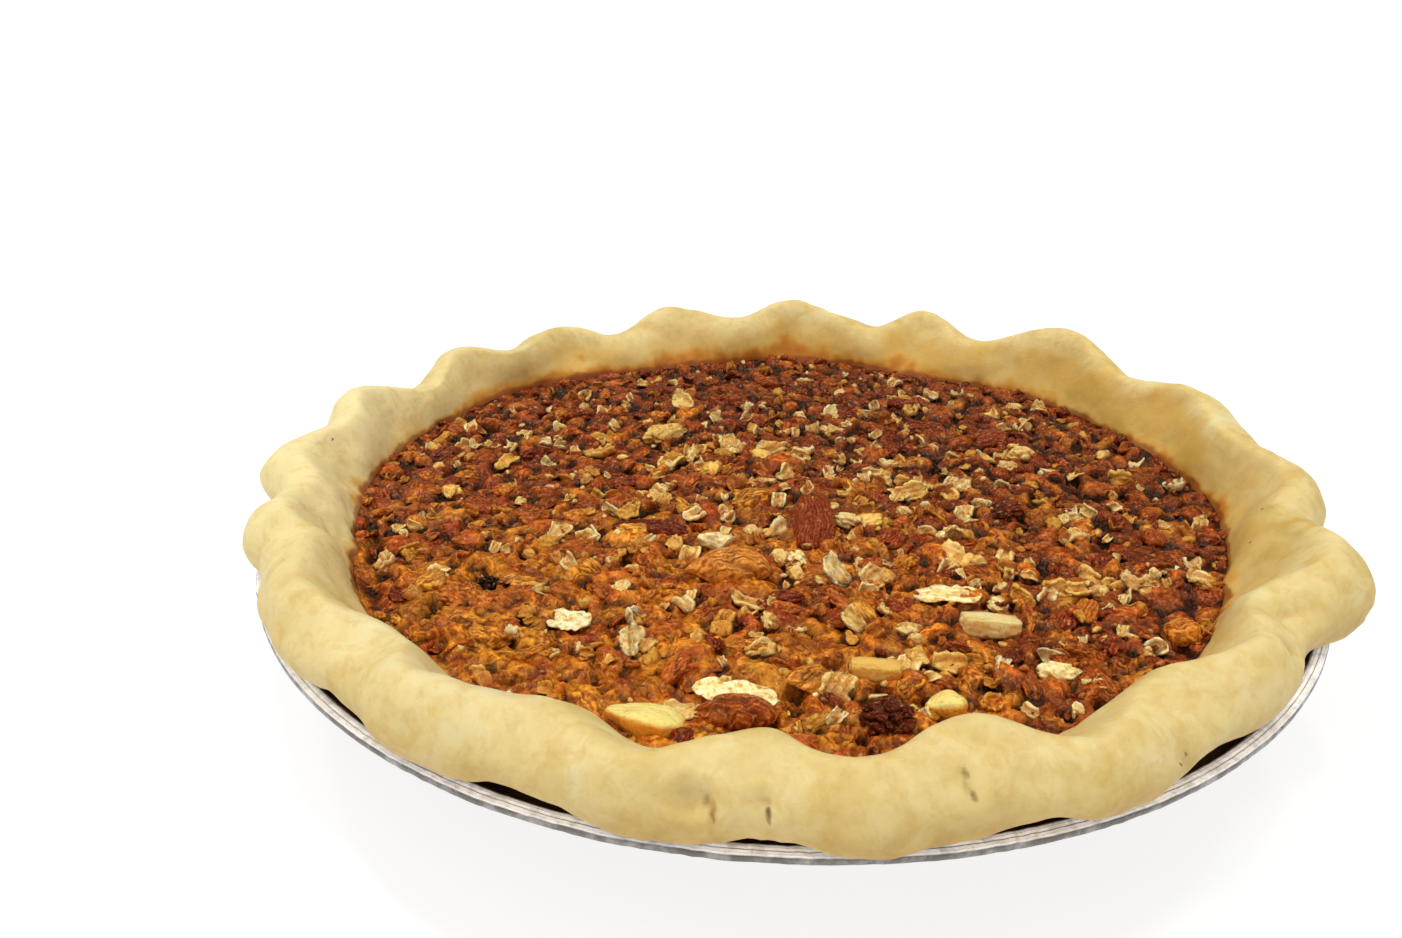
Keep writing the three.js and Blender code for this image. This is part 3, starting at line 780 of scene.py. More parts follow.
def kernel_shape(level, r, cuts=1, folds=0.30, rough=0.16, stretch=(1.2, 0.95, 0.85), bend=0.0, size=0.8, face=None):
    """A broken bit of kernel in a unit box: rounded, folded and crinkled, with a rough break or two.
    Returns points, faces, how much skin each point has, and how proud it stands (0 in a fold, 1 on a bulge)."""
    D, F = ICO[level]
    k = int(r.integers(1, 99999))
    Q = D + 0.25 * np.stack([noise(D, 0.8, k + 40), noise(D, 0.8, k + 41), noise(D, 0.8, k + 42)], -1)
    bulge = smooth(0.0, 0.42, np.abs(noise(Q, size * r.uniform(0.8, 1.3), k)) * 2.0)
    radius = 1 - folds * (1 - bulge) + rough * noise(D, 0.75, k + 2) + 0.5 * rough * noise(D, 0.34, k + 3)
    P = D * radius[:, None] * np.array(stretch)
    skin = np.ones(len(P))
    for c in range(cuts):
        n = r.normal(size=3) * np.array([1.2, 1.0, 0.5])
        h = r.uniform(0.35, 0.75)
        if c == 0 and face is not None:
            n, h = np.array(face) + 0.25 * r.normal(size=3), r.uniform(0.18, 0.50)
        n /= np.linalg.norm(n)
        d = P @ n - h + 0.07 * noise(P, 0.35, k + 7 + c) + 0.10 * noise(P, 0.9, k + 17 + c)
        P = P - np.where(d > 0, 0.88 * d, 0.0)[:, None] * n
        skin = np.where(d > -0.02, np.minimum(skin, smooth(0.10, -0.02, d)), skin)
    P = P - (P.max(0) + P.min(0)) / 2
    P /= np.abs(P).max(0)
    P[:, 1] += 0.4 * bend * (P[:, 0] ** 2 - 0.4)
    P[:, 2] += bend * (P[:, 0] ** 2 - 0.4)
    P /= np.abs(P).max(0)
    return P, F, skin, bulge


def wedge_shape(level, r, amount=1.0):
    """A length of kernel cut flat on top, by default tapering to one end, in a unit box. Returns points, faces, how much top each point is."""
    D, F = ICO[level]
    k = int(r.integers(1, 9999))
    P = np.sign(D) * np.abs(D) ** 0.55 if amount > 0.5 else D / (np.abs(D).max(1) ** 0.8)[:, None]
    taper = 0.34 + 0.66 * smooth(-1.0, 0.15, P[:, 0]) - 0.18 * smooth(0.5, 1.0, P[:, 0])
    taper = 1 + amount * (taper - 1)
    P = P * np.stack([np.ones(len(P)), taper, 0.25 + 0.75 * taper], -1)
    P[:, 2] -= 0.25 * smooth(0.2, 0.8, P[:, 2]) * (P[:, 1] + 0.5)
    P = P * (1 + 0.07 * noise(P, 0.8, k) + 0.035 * noise(P, 0.3, k + 1))[:, None]
    return P / np.abs(P).max(0), F, smooth(0.25, 0.75, D[:, 2] + 0.15 * noise(D, 0.6, k + 2))


def shell_shape(r, nx=15, ny=11, thick=0.17, turn=1.0, ridges=3.0):
    """A torn shell of kernel in a unit box: bent across its length, with ridges along it and a thick, broken rim.
    Returns points, faces, skin (1 on the back), and how pale each point is (rim and ridges 1, furrows 0)."""
    u = np.linspace(-1, 1, nx)
    w = np.linspace(-1, 1, ny)
    U, W = np.meshgrid(u, w, indexing="ij")
    k = int(r.integers(1, 9999))
    G = np.stack([U, W, 0 * U], -1)
    env = (1 - np.abs(u) ** r.uniform(2.2, 5.0)) ** 0.55
    line = lambda v, q: noise(np.stack([u, 0 * u + v, 0 * u], -1), q, k)
    hi = env * (1 + 0.45 * line(3.1, 0.6) + 0.25 * line(7.7, 0.25)) + 0.10
    lo = env * (1 + 0.45 * line(-3.1, 0.6) + 0.25 * line(-7.7, 0.25)) + 0.10
    across = np.where(W > 0, W * hi[:, None], W * lo[:, None])
    ang = across * turn * (1 + r.uniform(-0.5, 0.5) * U) + 0.25 * noise(G, 0.9, k + 5)
    ridge = np.cos(across * math.pi * ridges + 2.2 * noise(G, 0.8, k + 1) + r.uniform(0, 6.28))
    rad = (1 / max(turn, 0.6)) * (1 + 0.16 * noise(G, 0.6, k + 3) + 0.09 * ridge)
    X = U + 0.16 * noise(G, 0.45, k + 2) - 0.15 * across
    bow = r.uniform(-0.6, 0.6) * U**2 + 0.12 * noise(G, 0.5, k + 8)
    edge = np.clip(np.maximum(np.abs(U) ** 5, np.abs(W) ** 5), 0, 1)
    T = thick * (1 - 0.45 * edge) * (1 + 0.4 * noise(G, 0.45, k + 6))
    rows = [np.stack([X, (rad + side * T) * np.sin(ang), bow - (rad + side * T) * np.cos(ang)], -1).reshape(-1, 3) for side in (1, -1)]
    V = np.concatenate(rows)
    i = np.arange(nx - 1)[:, None]
    j = np.arange(ny - 1)[None, :]
    a = (i * ny + j).ravel()
    q = np.stack([a, a + ny, a + ny + 1, a + 1], -1)
    n = nx * ny
    L = np.array([i * ny for i in range(nx)] + [(nx - 1) * ny + j for j in range(1, ny)] + [i * ny + ny - 1 for i in range(nx - 2, -1, -1)] + [j for j in range(ny - 2, 0, -1)])
    M = np.roll(L, -1)
    q = np.concatenate([q[:, ::-1], q + n, np.stack([L, M, M + n, L + n], -1)])
    tri = np.concatenate([q[:, [0, 1, 2]], q[:, [0, 2, 3]]])
    V = V - (V.max(0) + V.min(0)) / 2
    V = V / np.abs(V).max(0)
    pale = np.clip(0.5 + 0.5 * ridge, 0, 1) * 0.65
    pale = np.maximum(pale, smooth(0.15, 0.8, edge))
    return V, tri, np.concatenate([np.full(n, 0.7), np.full(n, 0.15)]), np.concatenate([pale.ravel()] * 2)


def half_shape(r, cut=None, nu=44, nv=26):
    """A pecan half or a length of one: two lobes, a groove between them and wrinkles along it. The back is skin."""
    u = np.linspace(0, np.pi, nu)[1:-1]
    v = np.linspace(0, 2 * np.pi, nv * 2, endpoint=False)
    U, V = np.meshgrid(u, v, indexing="ij")
    x = np.cos(U)
    prof = np.sin(U) ** 0.62
    yy, zz = np.cos(V), np.sin(V)
    groove = 0.30 * np.exp(-((yy / 0.15) ** 2)) * (zz > 0) + 0.20 * np.exp(-((yy / 0.22) ** 2)) * (zz < 0)
    k = int(r.integers(1, 9999))
    wr = 0.05 * np.sin(yy * 13 + 1.6 * np.sin(x * 4 + k) + 2.0 * noise(np.stack([x, yy, zz], -1), 0.8, k)) * (zz > -0.1)
    rad = prof * (1 - groove + wr)
    Y = yy * rad * 0.98
    Z = zz * rad * np.where(zz > 0, 0.95, 0.62)
    P = np.stack([x, Y, Z], -1).reshape(-1, 3)
    n1, n2 = U.shape
    P = P * (1 + 0.14 * noise(P, 0.7, k) + 0.06 * noise(P, 0.3, k + 3) + 0.03 * noise(P, 0.14, k + 4))[:, None]
    if cut is not None:
        P[:, 0] = np.where(P[:, 0] > cut, cut + (P[:, 0] - cut) * 0.12 + 0.07 * noise(P, 0.3, k + 7), P[:, 0])
    ends = np.array([[-1.0, 0, 0], [P[:, 0].max(), 0, 0.0]])
    V3 = np.concatenate([P, ends[::-1]])
    i = np.arange(n1 - 1)[:, None]
    j = np.arange(n2)[None, :]
    a = i * n2 + j
    b = i * n2 + (j + 1) % n2
    quads = np.stack([a, a + n2, b + n2, b], -1).reshape(-1, 4)
    j = np.arange(n2)
    tris = np.concatenate([
        np.stack([np.full(n2, n1 * n2), j, (j + 1) % n2], -1),
        np.stack([np.full(n2, n1 * n2 + 1), (n1 - 1) * n2 + (j + 1) % n2, (n1 - 1) * n2 + j], -1),
    ])
    tri = np.concatenate([quads[:, [0, 1, 2]], quads[:, [0, 2, 3]], tris])
    skin = np.concatenate([(0.75 + 0.25 * zz).ravel(), [0.5, 0.5]])
    if cut is not None:
        skin = np.where(V3[:, 0] > cut - 0.02, 0.0, skin)
    V3 = V3 / np.abs(V3).max(0)
    return V3, tri, skin


def flake_shape(r, nx=15, ny=9, thick=0.10, curl=0.5):
    """A thin shaving: an uneven, torn outline, bent and crinkled, closed all round."""
    u = np.linspace(-1, 1, nx)
    w = np.linspace(-1, 1, ny)
    U, W = np.meshgrid(u, w, indexing="ij")
    k = int(r.integers(1, 9999))
    G = np.stack([U, W, 0 * U], -1)
    upper = np.stack([u, 0 * u + 3.1, 0 * u], -1)
    lower = np.stack([u, 0 * u - 3.1, 0 * u], -1)
    env = (1 - np.abs(u) ** r.uniform(1.8, 4.0)) ** 0.6
    hi = env * (1 + 0.42 * noise(upper, 0.5, k) + 0.25 * noise(upper, 0.22, k + 8)) + 0.05
    lo = env * (1 + 0.42 * noise(lower, 0.5, k) + 0.25 * noise(lower, 0.22, k + 8)) + 0.05
    mid = 0.30 * noise(np.stack([u, 0 * u, 0 * u], -1), 0.9, k + 1)
    X = U + 0.10 * noise(G, 0.4, k + 2)
    Y = mid[:, None] + np.where(W > 0, W * hi[:, None], W * lo[:, None])
    Z = curl * (0.7 * W**2 * r.uniform(-0.2, 1.0) + 0.6 * U**2 * r.uniform(-0.7, 1.0)) + 0.17 * noise(G, 0.6, k + 3)
    Z = Z + 0.10 * noise(G, 0.28, k + 4)
    edge = np.maximum(np.abs(U) ** 4, np.abs(W) ** 4)
    T = thick * (1 - 0.72 * edge) * (1 + 0.3 * noise(G, 0.5, k + 6))
    top = np.stack([X, Y, Z + T], -1).reshape(-1, 3)
    bot = np.stack([X, Y, Z - T], -1).reshape(-1, 3)
    V3 = np.concatenate([top, bot])
    i = np.arange(nx - 1)[:, None]
    j = np.arange(ny - 1)[None, :]
    a = (i * ny + j).ravel()
    q = np.stack([a, a + ny, a + ny + 1, a + 1], -1)
    n = nx * ny
    quads = [q, q[:, ::-1] + n]
    loop = [i * ny for i in range(nx)] + [(nx - 1) * ny + j for j in range(1, ny)] + [i * ny + ny - 1 for i in range(nx - 2, -1, -1)] + [j for j in range(ny - 2, 0, -1)]
    L = np.array(loop)
    M = np.roll(L, -1)
    quads.append(np.stack([L, L + n, M + n, M], -1))
    q = np.concatenate(quads)
    tri = np.concatenate([q[:, [0, 1, 2]], q[:, [0, 2, 3]]])
    rim_stain = (0.55 * edge).ravel()
    skin = np.concatenate([rim_stain, np.full(n, 0.8)])
    return V3, tri, skin


# Colours of the nuts and the glaze, as lit
PALE = [srgb(255, 228, 154), srgb(255, 236, 172), srgb(248, 212, 124), srgb(255, 242, 188), srgb(242, 200, 106)]
WHITE = [srgb(255, 242, 190), srgb(255, 234, 174), srgb(255, 250, 214), srgb(252, 224, 156)]
YELLOW = [srgb(226, 178, 84), srgb(232, 190, 96), srgb(220, 168, 70), srgb(214, 162, 66)]
AMBER = [srgb(208, 144, 62), srgb(196, 124, 48), srgb(216, 158, 76), srgb(188, 112, 42), srgb(204, 136, 54)]
RUST = [srgb(178, 96, 42), srgb(164, 84, 36), srgb(190, 108, 48), srgb(154, 74, 32), srgb(172, 86, 42)]
BROWN = [srgb(142, 58, 32), srgb(126, 46, 26), srgb(152, 68, 38), srgb(114, 40, 24), srgb(140, 54, 38)]
DARK = [srgb(104, 34, 24), srgb(88, 28, 18), srgb(116, 42, 28)]
PALETTES = {"pale": PALE, "white": WHITE, "yellow": YELLOW, "amber": AMBER, "rust": RUST, "brown": BROWN, "dark": DARK}


def palette(r, kind):
    cols = PALETTES[kind]
    a, b = r.integers(0, len(cols), 2)
    t = r.uniform()
    c = np.array(cols[a]) * t + np.array(cols[b]) * (1 - t)
    return c * r.uniform(0.90, 1.10)


# The nuts that stand out: x, y, length, width, azimuth, and w a white shaving, p a pale piece, y a yellow one
PALE_NUTS = [
    (21.9, 67.4, 3.6, 3.5, -71, "p"), (37.1, 66.5, 3.7, 2.9, 19, "p"), (70.1, 58.1, 5.8, 3.7, -36, "p"),
    (-23.2, 55.8, 9.1, 2.5, -54, "w"), (62.3, 51.2, 6.5, 3.1, -84, "p"), (-26, 46.8, 4.7, 3.1, 82, "p"),
    (69.3, 46.2, 5.6, 3.6, 54, "p"), (-4.6, 41.8, 6.6, 3.4, -75, "p"), (15, 39.9, 12.5, 4.9, -61, "p"),
    (6.5, 38.3, 5.5, 2.7, 88, "p"), (3.6, 37.4, 4, 2.9, 16, "p"), (-85.7, 35.5, 8.3, 3.5, 76, "y"), (-43, 35, 10.1, 6.6, -38, "y"),
    (-80.1, 31.7, 6.7, 3, 49, "p"), (62.2, 29.7, 4.4, 2.3, 35, "p"), (-50.6, 28.3, 4.3, 2.9, -90, "p"),
    (-12.3, 25.3, 12.8, 7.6, 82, "p"), (-1.1, 25.1, 11.3, 7.9, 60, "p"), (-43.9, 24, 7.4, 6.1, 4, "p"),
    (57.2, 23.9, 8.3, 3.4, 67, "p"), (49.6, 23.4, 4.1, 3.4, -89, "p"), (-20.6, 22.3, 7.1, 3.6, 86, "p"),
    (-76, 21.7, 4.1, 3.4, -87, "y"), (5.9, 20.9, 8.2, 3, -82, "p"), (-66.4, 18.7, 8, 4.9, 59, "p"),
    (-26.5, 16.8, 13.3, 7.2, 85, "p"), (67.4, 15.6, 6.6, 4.2, -42, "w"), (25.8, 13.1, 13.5, 5.8, 54, "p"),
    (-44.7, 12.4, 4.6, 4.1, -37, "y"), (-15.8, 11.6, 7.5, 6.5, -61, "p"), (72.5, 11.4, 4.4, 3.5, 38, "w"),
    (83.6, 9.9, 6.3, 3, -9, "p"), (2.2, 9.2, 6.8, 5.2, 57, "p"), (12.7, 8.8, 3.2, 2.9, 55, "p"), (-45.5, 7.4, 5.7, 2.9, -84, "p"),
    (41.4, 6.3, 5.3, 3.4, 66, "w"), (-2.9, 5.6, 5, 3.1, 0, "p"), (-9.1, 5.4, 6.3, 3.6, 71, "p"), (26, 5.2, 4.4, 3, -63, "w"),
    (35.2, 4, 4.5, 2, -64, "w"), (78.6, 1.4, 4.6, 2.5, -80, "p"), (-31.8, 1.1, 4.3, 3, 84, "y"), (-41, 0.5, 8.3, 3.1, -24, "p"),
    (39.7, -0.3, 4.9, 4.4, -83, "p"), (60.6, -0.4, 4.9, 2.5, -13, "p"), (29, -2.6, 9.7, 8, 29, "p"),
    (-27.7, -2.7, 13.5, 5.1, -84, "p"), (18.6, -4, 3.9, 3.4, 59, "y"), (46.7, -5.3, 6.9, 5, -53, "p"),
    (-0.6, -6.4, 6.6, 2.5, 83, "p"), (69.8, -7.3, 5.5, 2.6, -60, "w"), (41.3, -8.3, 7.7, 3, 77, "p"),
    (-34.7, -9.9, 8.1, 5.4, 62, "y"), (-43, -11.9, 3.2, 2.5, 54, "y"), (62.8, -11.9, 12.3, 6, 38, "p"),
    (-11.9, -13.1, 3.8, 2.8, -88, "w"), (-19.9, -13.4, 5.8, 4.4, 35, "w"), (92.1, -14.3, 7.1, 4.5, 78, "p"),
    (18.3, -14.4, 13.5, 8, 19, "p"), (-84.9, -15.4, 4.7, 3, 80, "p"), (-81, -16.4, 3.6, 3.7, -20, "p"),
    (-4, -17.5, 12.3, 6.2, 39, "p"), (26.6, -18.2, 2.9, 3, 48, "w"), (31.6, -18.6, 4.7, 3.6, 12, "w"),
    (36.5, -18.7, 4.6, 2.9, 40, "w"), (-42.3, -19.2, 5.7, 5, -58, "w"), (-13.1, -19.3, 4.1, 1.8, 74, "w"),
    (62.7, -19.3, 6.9, 4.6, 18, "w"), (70.3, -19.5, 3.1, 2, 55, "w"), (39.7, -19.6, 4.7, 4.9, 54, "p"),
    (-49.6, -21.8, 10.6, 6.7, 78, "p"), (-24.2, -23.4, 5, 4.2, -72, "p"), (4.6, -24.6, 3.1, 2.8, 7, "p"),
    (-29.5, -24.8, 3.7, 3.3, 30, "w"), (-62.1, -24.9, 5.4, 2.3, 84, "w"), (-54.8, -26.5, 3.7, 2.9, -33, "y"),
    (-78.8, -27.6, 8.8, 4.6, 86, "y"), (69.2, -28.5, 2.9, 2.2, -60, "w"), (45.6, -28.9, 4.8, 4.1, 76, "p"),
    (36.5, -30.9, 11.4, 8, -42, "p"), (0.8, -32.3, 10.1, 5.4, -36, "p"), (-37.1, -32.8, 3.8, 3.6, 67, "p"),
    (74.5, -35.2, 3.8, 2.9, 86, "w"), (44.4, -36.2, 3.7, 3, 84, "p"), (61.3, -36.6, 5.7, 4.6, -30, "p"),
    (1.1, -36.9, 6.4, 3, -60, "p"), (34.6, -37.2, 3.6, 1.9, -55, "w"), (-61.5, -37.5, 4.9, 2.8, 36, "w"),
    (-70.6, -37.8, 3.8, 2, 15, "w"), (48.3, -37.9, 3.5, 3.6, -14, "p"), (17.8, -38.3, 9.5, 6.9, 46, "p"),
    (-56.3, -38.6, 3.5, 2.3, 39, "p"), (9, -38.7, 9, 6, -50, "w"), (82.7, -39, 12, 5.8, -87, "p"),
    (-0.9, -39.2, 3.7, 2.1, -82, "p"), (67.1, -39.6, 9, 3.7, -18, "p"), (75.4, -39.6, 3.2, 2, 90, "p"),
    (-33.9, -42.3, 5, 3.7, 76, "w"), (36.2, -42.4, 3.2, 2.7, -82, "w"), (56.3, -42.8, 12.5, 6, 5, "p"),
    (-20.1, -44.4, 4.3, 2, 88, "p"), (64.8, -45.1, 4.3, 1.8, 72, "w"), (44.8, -45.7, 5.2, 3.8, -29, "y"),
    (-8.7, -47.3, 7.6, 3, -29, "p"), (39.4, -47.6, 5, 5.1, 52, "p"), (-16, -47.7, 2.6, 2.3, 44, "y"),
    (-21.6, -48.3, 7.4, 4.1, -66, "p"), (17.5, -49.3, 4.3, 2.9, -49, "w"), (-51.8, -51.6, 3.9, 1.8, -37, "y"),
    (53.7, -52.7, 4.3, 2.2, -73, "y"), (-50.4, -54.5, 3, 1.9, 47, "y"), (-29.8, -54.5, 3.5, 1.8, 87, "y"),
    (-13.5, -54.9, 10.8, 4.6, 70, "y"), (-5.4, -55.3, 5.8, 3.3, -66, "p"), (10.7, -55.3, 7.7, 3.9, -54, "w"),
    (55.7, -56.3, 2.6, 2.1, 23, "p"), (20.6, -56.6, 5.3, 4.9, 81, "p"), (60.8, -56.6, 3.8, 2.6, 79, "p"),
    (0.3, -56.9, 3.1, 2.1, 26, "p"), (-8, -58.7, 3, 2, 30, "p"), (9.4, -60, 4.8, 2.2, -74, "y"), (-37.5, -61.5, 2.8, 1.9, 18, "p"),
    (-30.7, -61.9, 9.6, 3.7, 90, "w"), (-40.8, -62.9, 2.6, 2.6, 70, "p"), (-7.4, -63.3, 6.4, 2.6, 36, "w"),
    (-38.8, -65, 2.8, 2.3, -2, "y"), (15.7, -66.6, 6.3, 2.5, 45, "p"), (1.3, -67.4, 3.5, 1.8, -76, "p"),
    (26.6, -68, 6.8, 4.4, 20, "p"), (19.2, -68.4, 6.4, 6.8, 51, "p"), (-3.7, -72.4, 3.2, 2.3, -45, "y"),
    (31.7, -74.2, 2.6, 1.9, -37, "y"), (-45.1, -75.3, 3.4, 2.3, -30, "y"), (5.1, -76.2, 7.1, 6.2, 75, "p"),
    (-51.4, -77.1, 4.4, 3.1, -67, "p"), (-9, -77.4, 5.7, 4.5, -8, "p"), (12.4, -77.8, 5.8, 3.5, -11, "p"),
    (-12.7, -78.1, 10.4, 4.4, -58, "w"), (-44.6, -79.8, 3.7, 1.9, -16, "y"), (17.6, -80.2, 2.6, 1.9, -56, "p"),
    (-21.3, -81.3, 6, 5.6, 8, "w"), (1.2, -84.3, 5.3, 5.2, -78, "y"),
]
# Holes between the nuts, painted dark as shade: x, y, length, width, azimuth
PITS = [
    (-88, -25, 9, 3.4, -80), (-91.0, -14, 6, 2.2, -78), (-84.0, -41, 7, 2.2, -60), (-75.0, -57, 7, 2.0, -50), (-7.7, -85.1, 4.3, 1.9, 62), (39.4, 13.3, 6.3, 2.7, 16), (-68.8, -59.2, 7.2, 1.8, 1),
    (70.1, -62.2, 3.2, 2.7, 88), (-61.8, -38.1, 4, 3.1, -41), (68.3, -22, 5.8, 1.7, 83), (19.4, 11.2, 3.8, 2.9, -62),
    (8.1, -88.3, 2.6, 1.3, 80), (13.1, 58.7, 6.5, 2.2, -3), (67.3, 16.2, 4.1, 2.4, -57), (93.2, 4.3, 6.9, 1.3, -80),
    (32.7, -7.1, 3.8, 2.6, 81), (16.9, 31.2, 4.6, 2.7, 82), (-7.7, -4.6, 4.1, 1.6, 24), (53.6, -59.9, 2.3, 1.7, -81),
    (70.8, 2, 4.3, 1.4, -80), (79.4, -46.5, 2.8, 1.9, 84), (14.2, -78.6, 2.9, 1.2, -21), (-42.5, 1.5, 3.6, 1.8, -8),
    (-70.4, -52.6, 2.7, 1.2, 87), (-4.7, -38.5, 2.4, 1.6, -27), (71.1, 8.1, 3.8, 1.5, 87), (9.3, -44.9, 3.4, 1.2, 13),
    (-81.2, -47.6, 2.2, 1.5, -86), (52.5, -15.6, 3.4, 1.4, 66), (-3.2, -3.9, 3.9, 1.7, 0), (51.4, -54.9, 2, 1.4, 63),
    (69.5, -56.6, 3.2, 1.2, 69), (22.5, -14.9, 2.1, 1.5, -17), (43.7, -65.9, 1.8, 1.4, -61), (59.6, -2.2, 2.6, 2.2, 86),
    (24.9, -11.9, 2, 1.7, 2), (-11.5, -39.8, 2, 1.2, 8), (90.9, -15.3, 2.5, 1.3, 69), (-1.4, 20.9, 4.5, 1.2, -83),
    (-1.5, -17.4, 2.4, 1.2, 75), (89, -30.2, 3.7, 1.2, 52), (17.4, -79.4, 2, 1.2, -59), (39, -85.7, 1.8, 1.2, 11),
    (-61.4, 35.3, 2.9, 1.4, 77), (-18.6, 44.9, 3.8, 1.2, -74), (-2.9, -81, 1.3, 1.2, -76), (9.1, -92.3, 1.2, 1.2, 78),
    (-60.9, -41.4, 2.4, 1.2, 73), (59.7, -58.7, 1.7, 1.2, -65), (11.7, 28, 1.8, 1.7, 83), (-6.4, -57, 1.7, 1.2, -11),
    (19.8, -79, 1.9, 1.2, 85), (12.7, 43.5, 2.3, 1.3, 90), (15.7, 13.9, 4, 1.2, 87), (-53.1, 10.6, 4.2, 1.2, 88),
    (82.2, 3.1, 2.4, 1.2, 43),
]
# Nuts in their dark skin and long amber ones: x, y, length, width, height, azimuth, colour
SKINS = [
    (-36.0, 6.0, 9.0, 5.0, 3.6, 20, "brown"), (50.0, -10.0, 9.5, 7.0, 4.2, 30, "dark"), (8.5, -46.5, 9.5, 4.4, 3.4, -50, "rust"),
    (-22.0, -70.0, 9.5, 6.0, 4.2, 60, "rust"), (-2.0, -47.0, 8.5, 5.4, 3.6, -18, "brown"), (10.0, 27.0, 8.5, 6.0, 3.6, 75, "brown"),
    (42.0, 40.0, 12.0, 7.5, 4.0, -20, "brown"), (57.0, 33.0, 10.0, 7.0, 3.8, 10, "brown"), (30.0, 24.0, 9.0, 6.0, 3.6, 40, "brown"),
    (-60.0, 24.0, 9.0, 5.6, 3.6, 30, "brown"), (-68.0, -6.0, 10.0, 6.0, 3.8, -25, "brown"), (-55.0, -12.0, 9.0, 6.0, 3.8, 15, "rust"),
    (-52.0, 48.0, 10.0, 6.0, 3.8, 25, "brown"), (-8.0, 60.0, 11.0, 6.4, 3.6, -10, "brown"), (22.0, 52.0, 10.0, 7.0, 3.8, 15, "dark"),
    (38.0, 56.0, 9.0, 6.0, 3.4, -35, "brown"), (2.0, 74.0, 10.0, 5.6, 3.4, 5, "brown"), (66.0, -30.0, 9.0, 5.4, 3.8, 70, "brown"),
    (22.0, -24.0, 8.0, 6.4, 3.8, 65, "brown"), (-66.0, -46.0, 9.5, 6.4, 4.0, -30, "rust"), (-38.0, -42.0, 12.0, 5.6, 3.8, -60, "rust"),
    (4.0, -78.6, 8.5, 5.0, 3.8, -70, "brown"), (30.0, -63.0, 8.0, 5.0, 3.6, 10, "rust"), (52.0, -64.0, 8.5, 5.4, 3.8, -40, "rust"),
    (-78.0, 8.0, 8.5, 5.4, 3.6, 40, "brown"), (-2.0, -90.4, 9.5, 5.0, 4.0, 4, "rust"), (-33.0, -20.0, 7.5, 4.6, 3.4, 5, "amber"),
    (-75.0, 12.0, 8.0, 6.0, 3.6, 10, "amber"), (-64.0, 3.0, 7.0, 5.0, 3.4, -20, "amber"), (-58.0, -60.0, 9.0, 6.4, 4.0, -35, "amber"),
    (-71.0, -42.0, 8.0, 6.0, 3.8, 15, "amber"), (-48.0, -66.0, 8.0, 5.4, 3.6, 30, "amber"), (56.0, -50.0, 7.5, 5.0, 3.6, 60, "amber"),
    (24.0, -33.0, 7.0, 4.6, 3.4, 40, "amber"), (-8.0, -62.0, 8.0, 5.0, 3.4, -5, "amber"), (80.0, -20.0, 8.0, 5.0, 3.4, 80, "rust"),
]


class Heap:
    """Collects pieces of one kind and joins them into one mesh."""

    def __init__(self, name, material, slot):
        self.name, self.material, self.slot = name, material, slot
        self.v, self.f, self.n = [], [], 0
        self.attrs = {}

    def add(self, V, F, tint, skin):
        self.v.append(V)
        self.f.append(F + self.n)
        self.n += len(V)
        for key, value in piece_attrs(V, tint, skin).items():
            self.attrs.setdefault(key, []).append(value)

    def make(self):
        o = new_mesh(self.name, np.concatenate(self.v), np.concatenate(self.f), self.material,
                     attrs={key: np.concatenate(value) for key, value in self.attrs.items()})
        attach(o, "root")
        return o


def dimmer(x, y):
    """The far right is browner and darker."""
    return 1 - 0.15 * smooth(-30, 70, y + 0.6 * x)


def piece_attrs(V, tint, skin):
    """Tint and skin of a piece, how far the syrup climbs it, its colour there, and how deep the piece sits, which the
    materials paint as shade.
    """
    c = V - V.mean(0)
    across = c @ np.linalg.eigh(c.T @ c)[1][:, 1]
    above = V[:, 2] - sample(H_SOFT, V[:, 0], V[:, 1])
    wet = smooth(1.3, -0.2, above + 0.7 * noise(V, 2.2, 501) + 0.4 * noise(V, 0.9, 502))
    return {
        "tint": np.broadcast_to(tint, (len(V), 3)) * dimmer(V[:, 0], V[:, 1])[:, None], "skin": skin, "syrup": sample(C_SOFT, V[:, 0], V[:, 1]), "wet": wet,
        "cavity_shade": 0.95 * smooth(0.40, -0.5, above + 0.25 * noise(V, 1.4, 503)), "grain": across,
    }


def sample(raster, x, y):
    u = np.clip(np.asarray(x) / RASTER + MID, 0, NPX - 1.001)
    v = np.clip(np.asarray(y) / RASTER + MID, 0, NPX - 1.001)
    i, j = u.astype(int), v.astype(int)
    a, b = u - i, v - j
    if raster.ndim == 3:
        a, b = a[..., None], b[..., None]
    return raster[i, j] * (1 - a) * (1 - b) + raster[i + 1, j] * a * (1 - b) + raster[i, j + 1] * (1 - a) * b + raster[i + 1, j + 1] * a * b


def blur(a, k):
    """Box blur of radius k pixels, twice."""
    if a.ndim == 3:
        return np.stack([blur(a[..., c], k) for c in range(a.shape[2])], -1)
    for _ in range(2):
        for axis in (0, 1):
            c = np.cumsum(np.pad(a, [(k + 1, k) if i == axis else (0, 0) for i in range(2)], mode="edge"), axis)
            n = a.shape[axis]
            a = (np.take(c, np.arange(2 * k + 1, 2 * k + 1 + n), axis) - np.take(c, np.arange(0, n), axis)) / (2 * k + 1)
    return a


def region_kind(r, x, y):
    """What colour a lump is, by where it lies: the far side is darker and redder, the near left more amber."""
    far = float(smooth(-30, 60, y))
    left = float(smooth(60, -60, x))
    amber = 0.26 - 0.17 * far + 0.26 * left * (1 - far)
    brown = 0.16 + 0.34 * far + 0.12 * (1 - left)
    u = r.uniform()
    return "amber" if u < amber else "brown" if u < amber + brown else "rust"


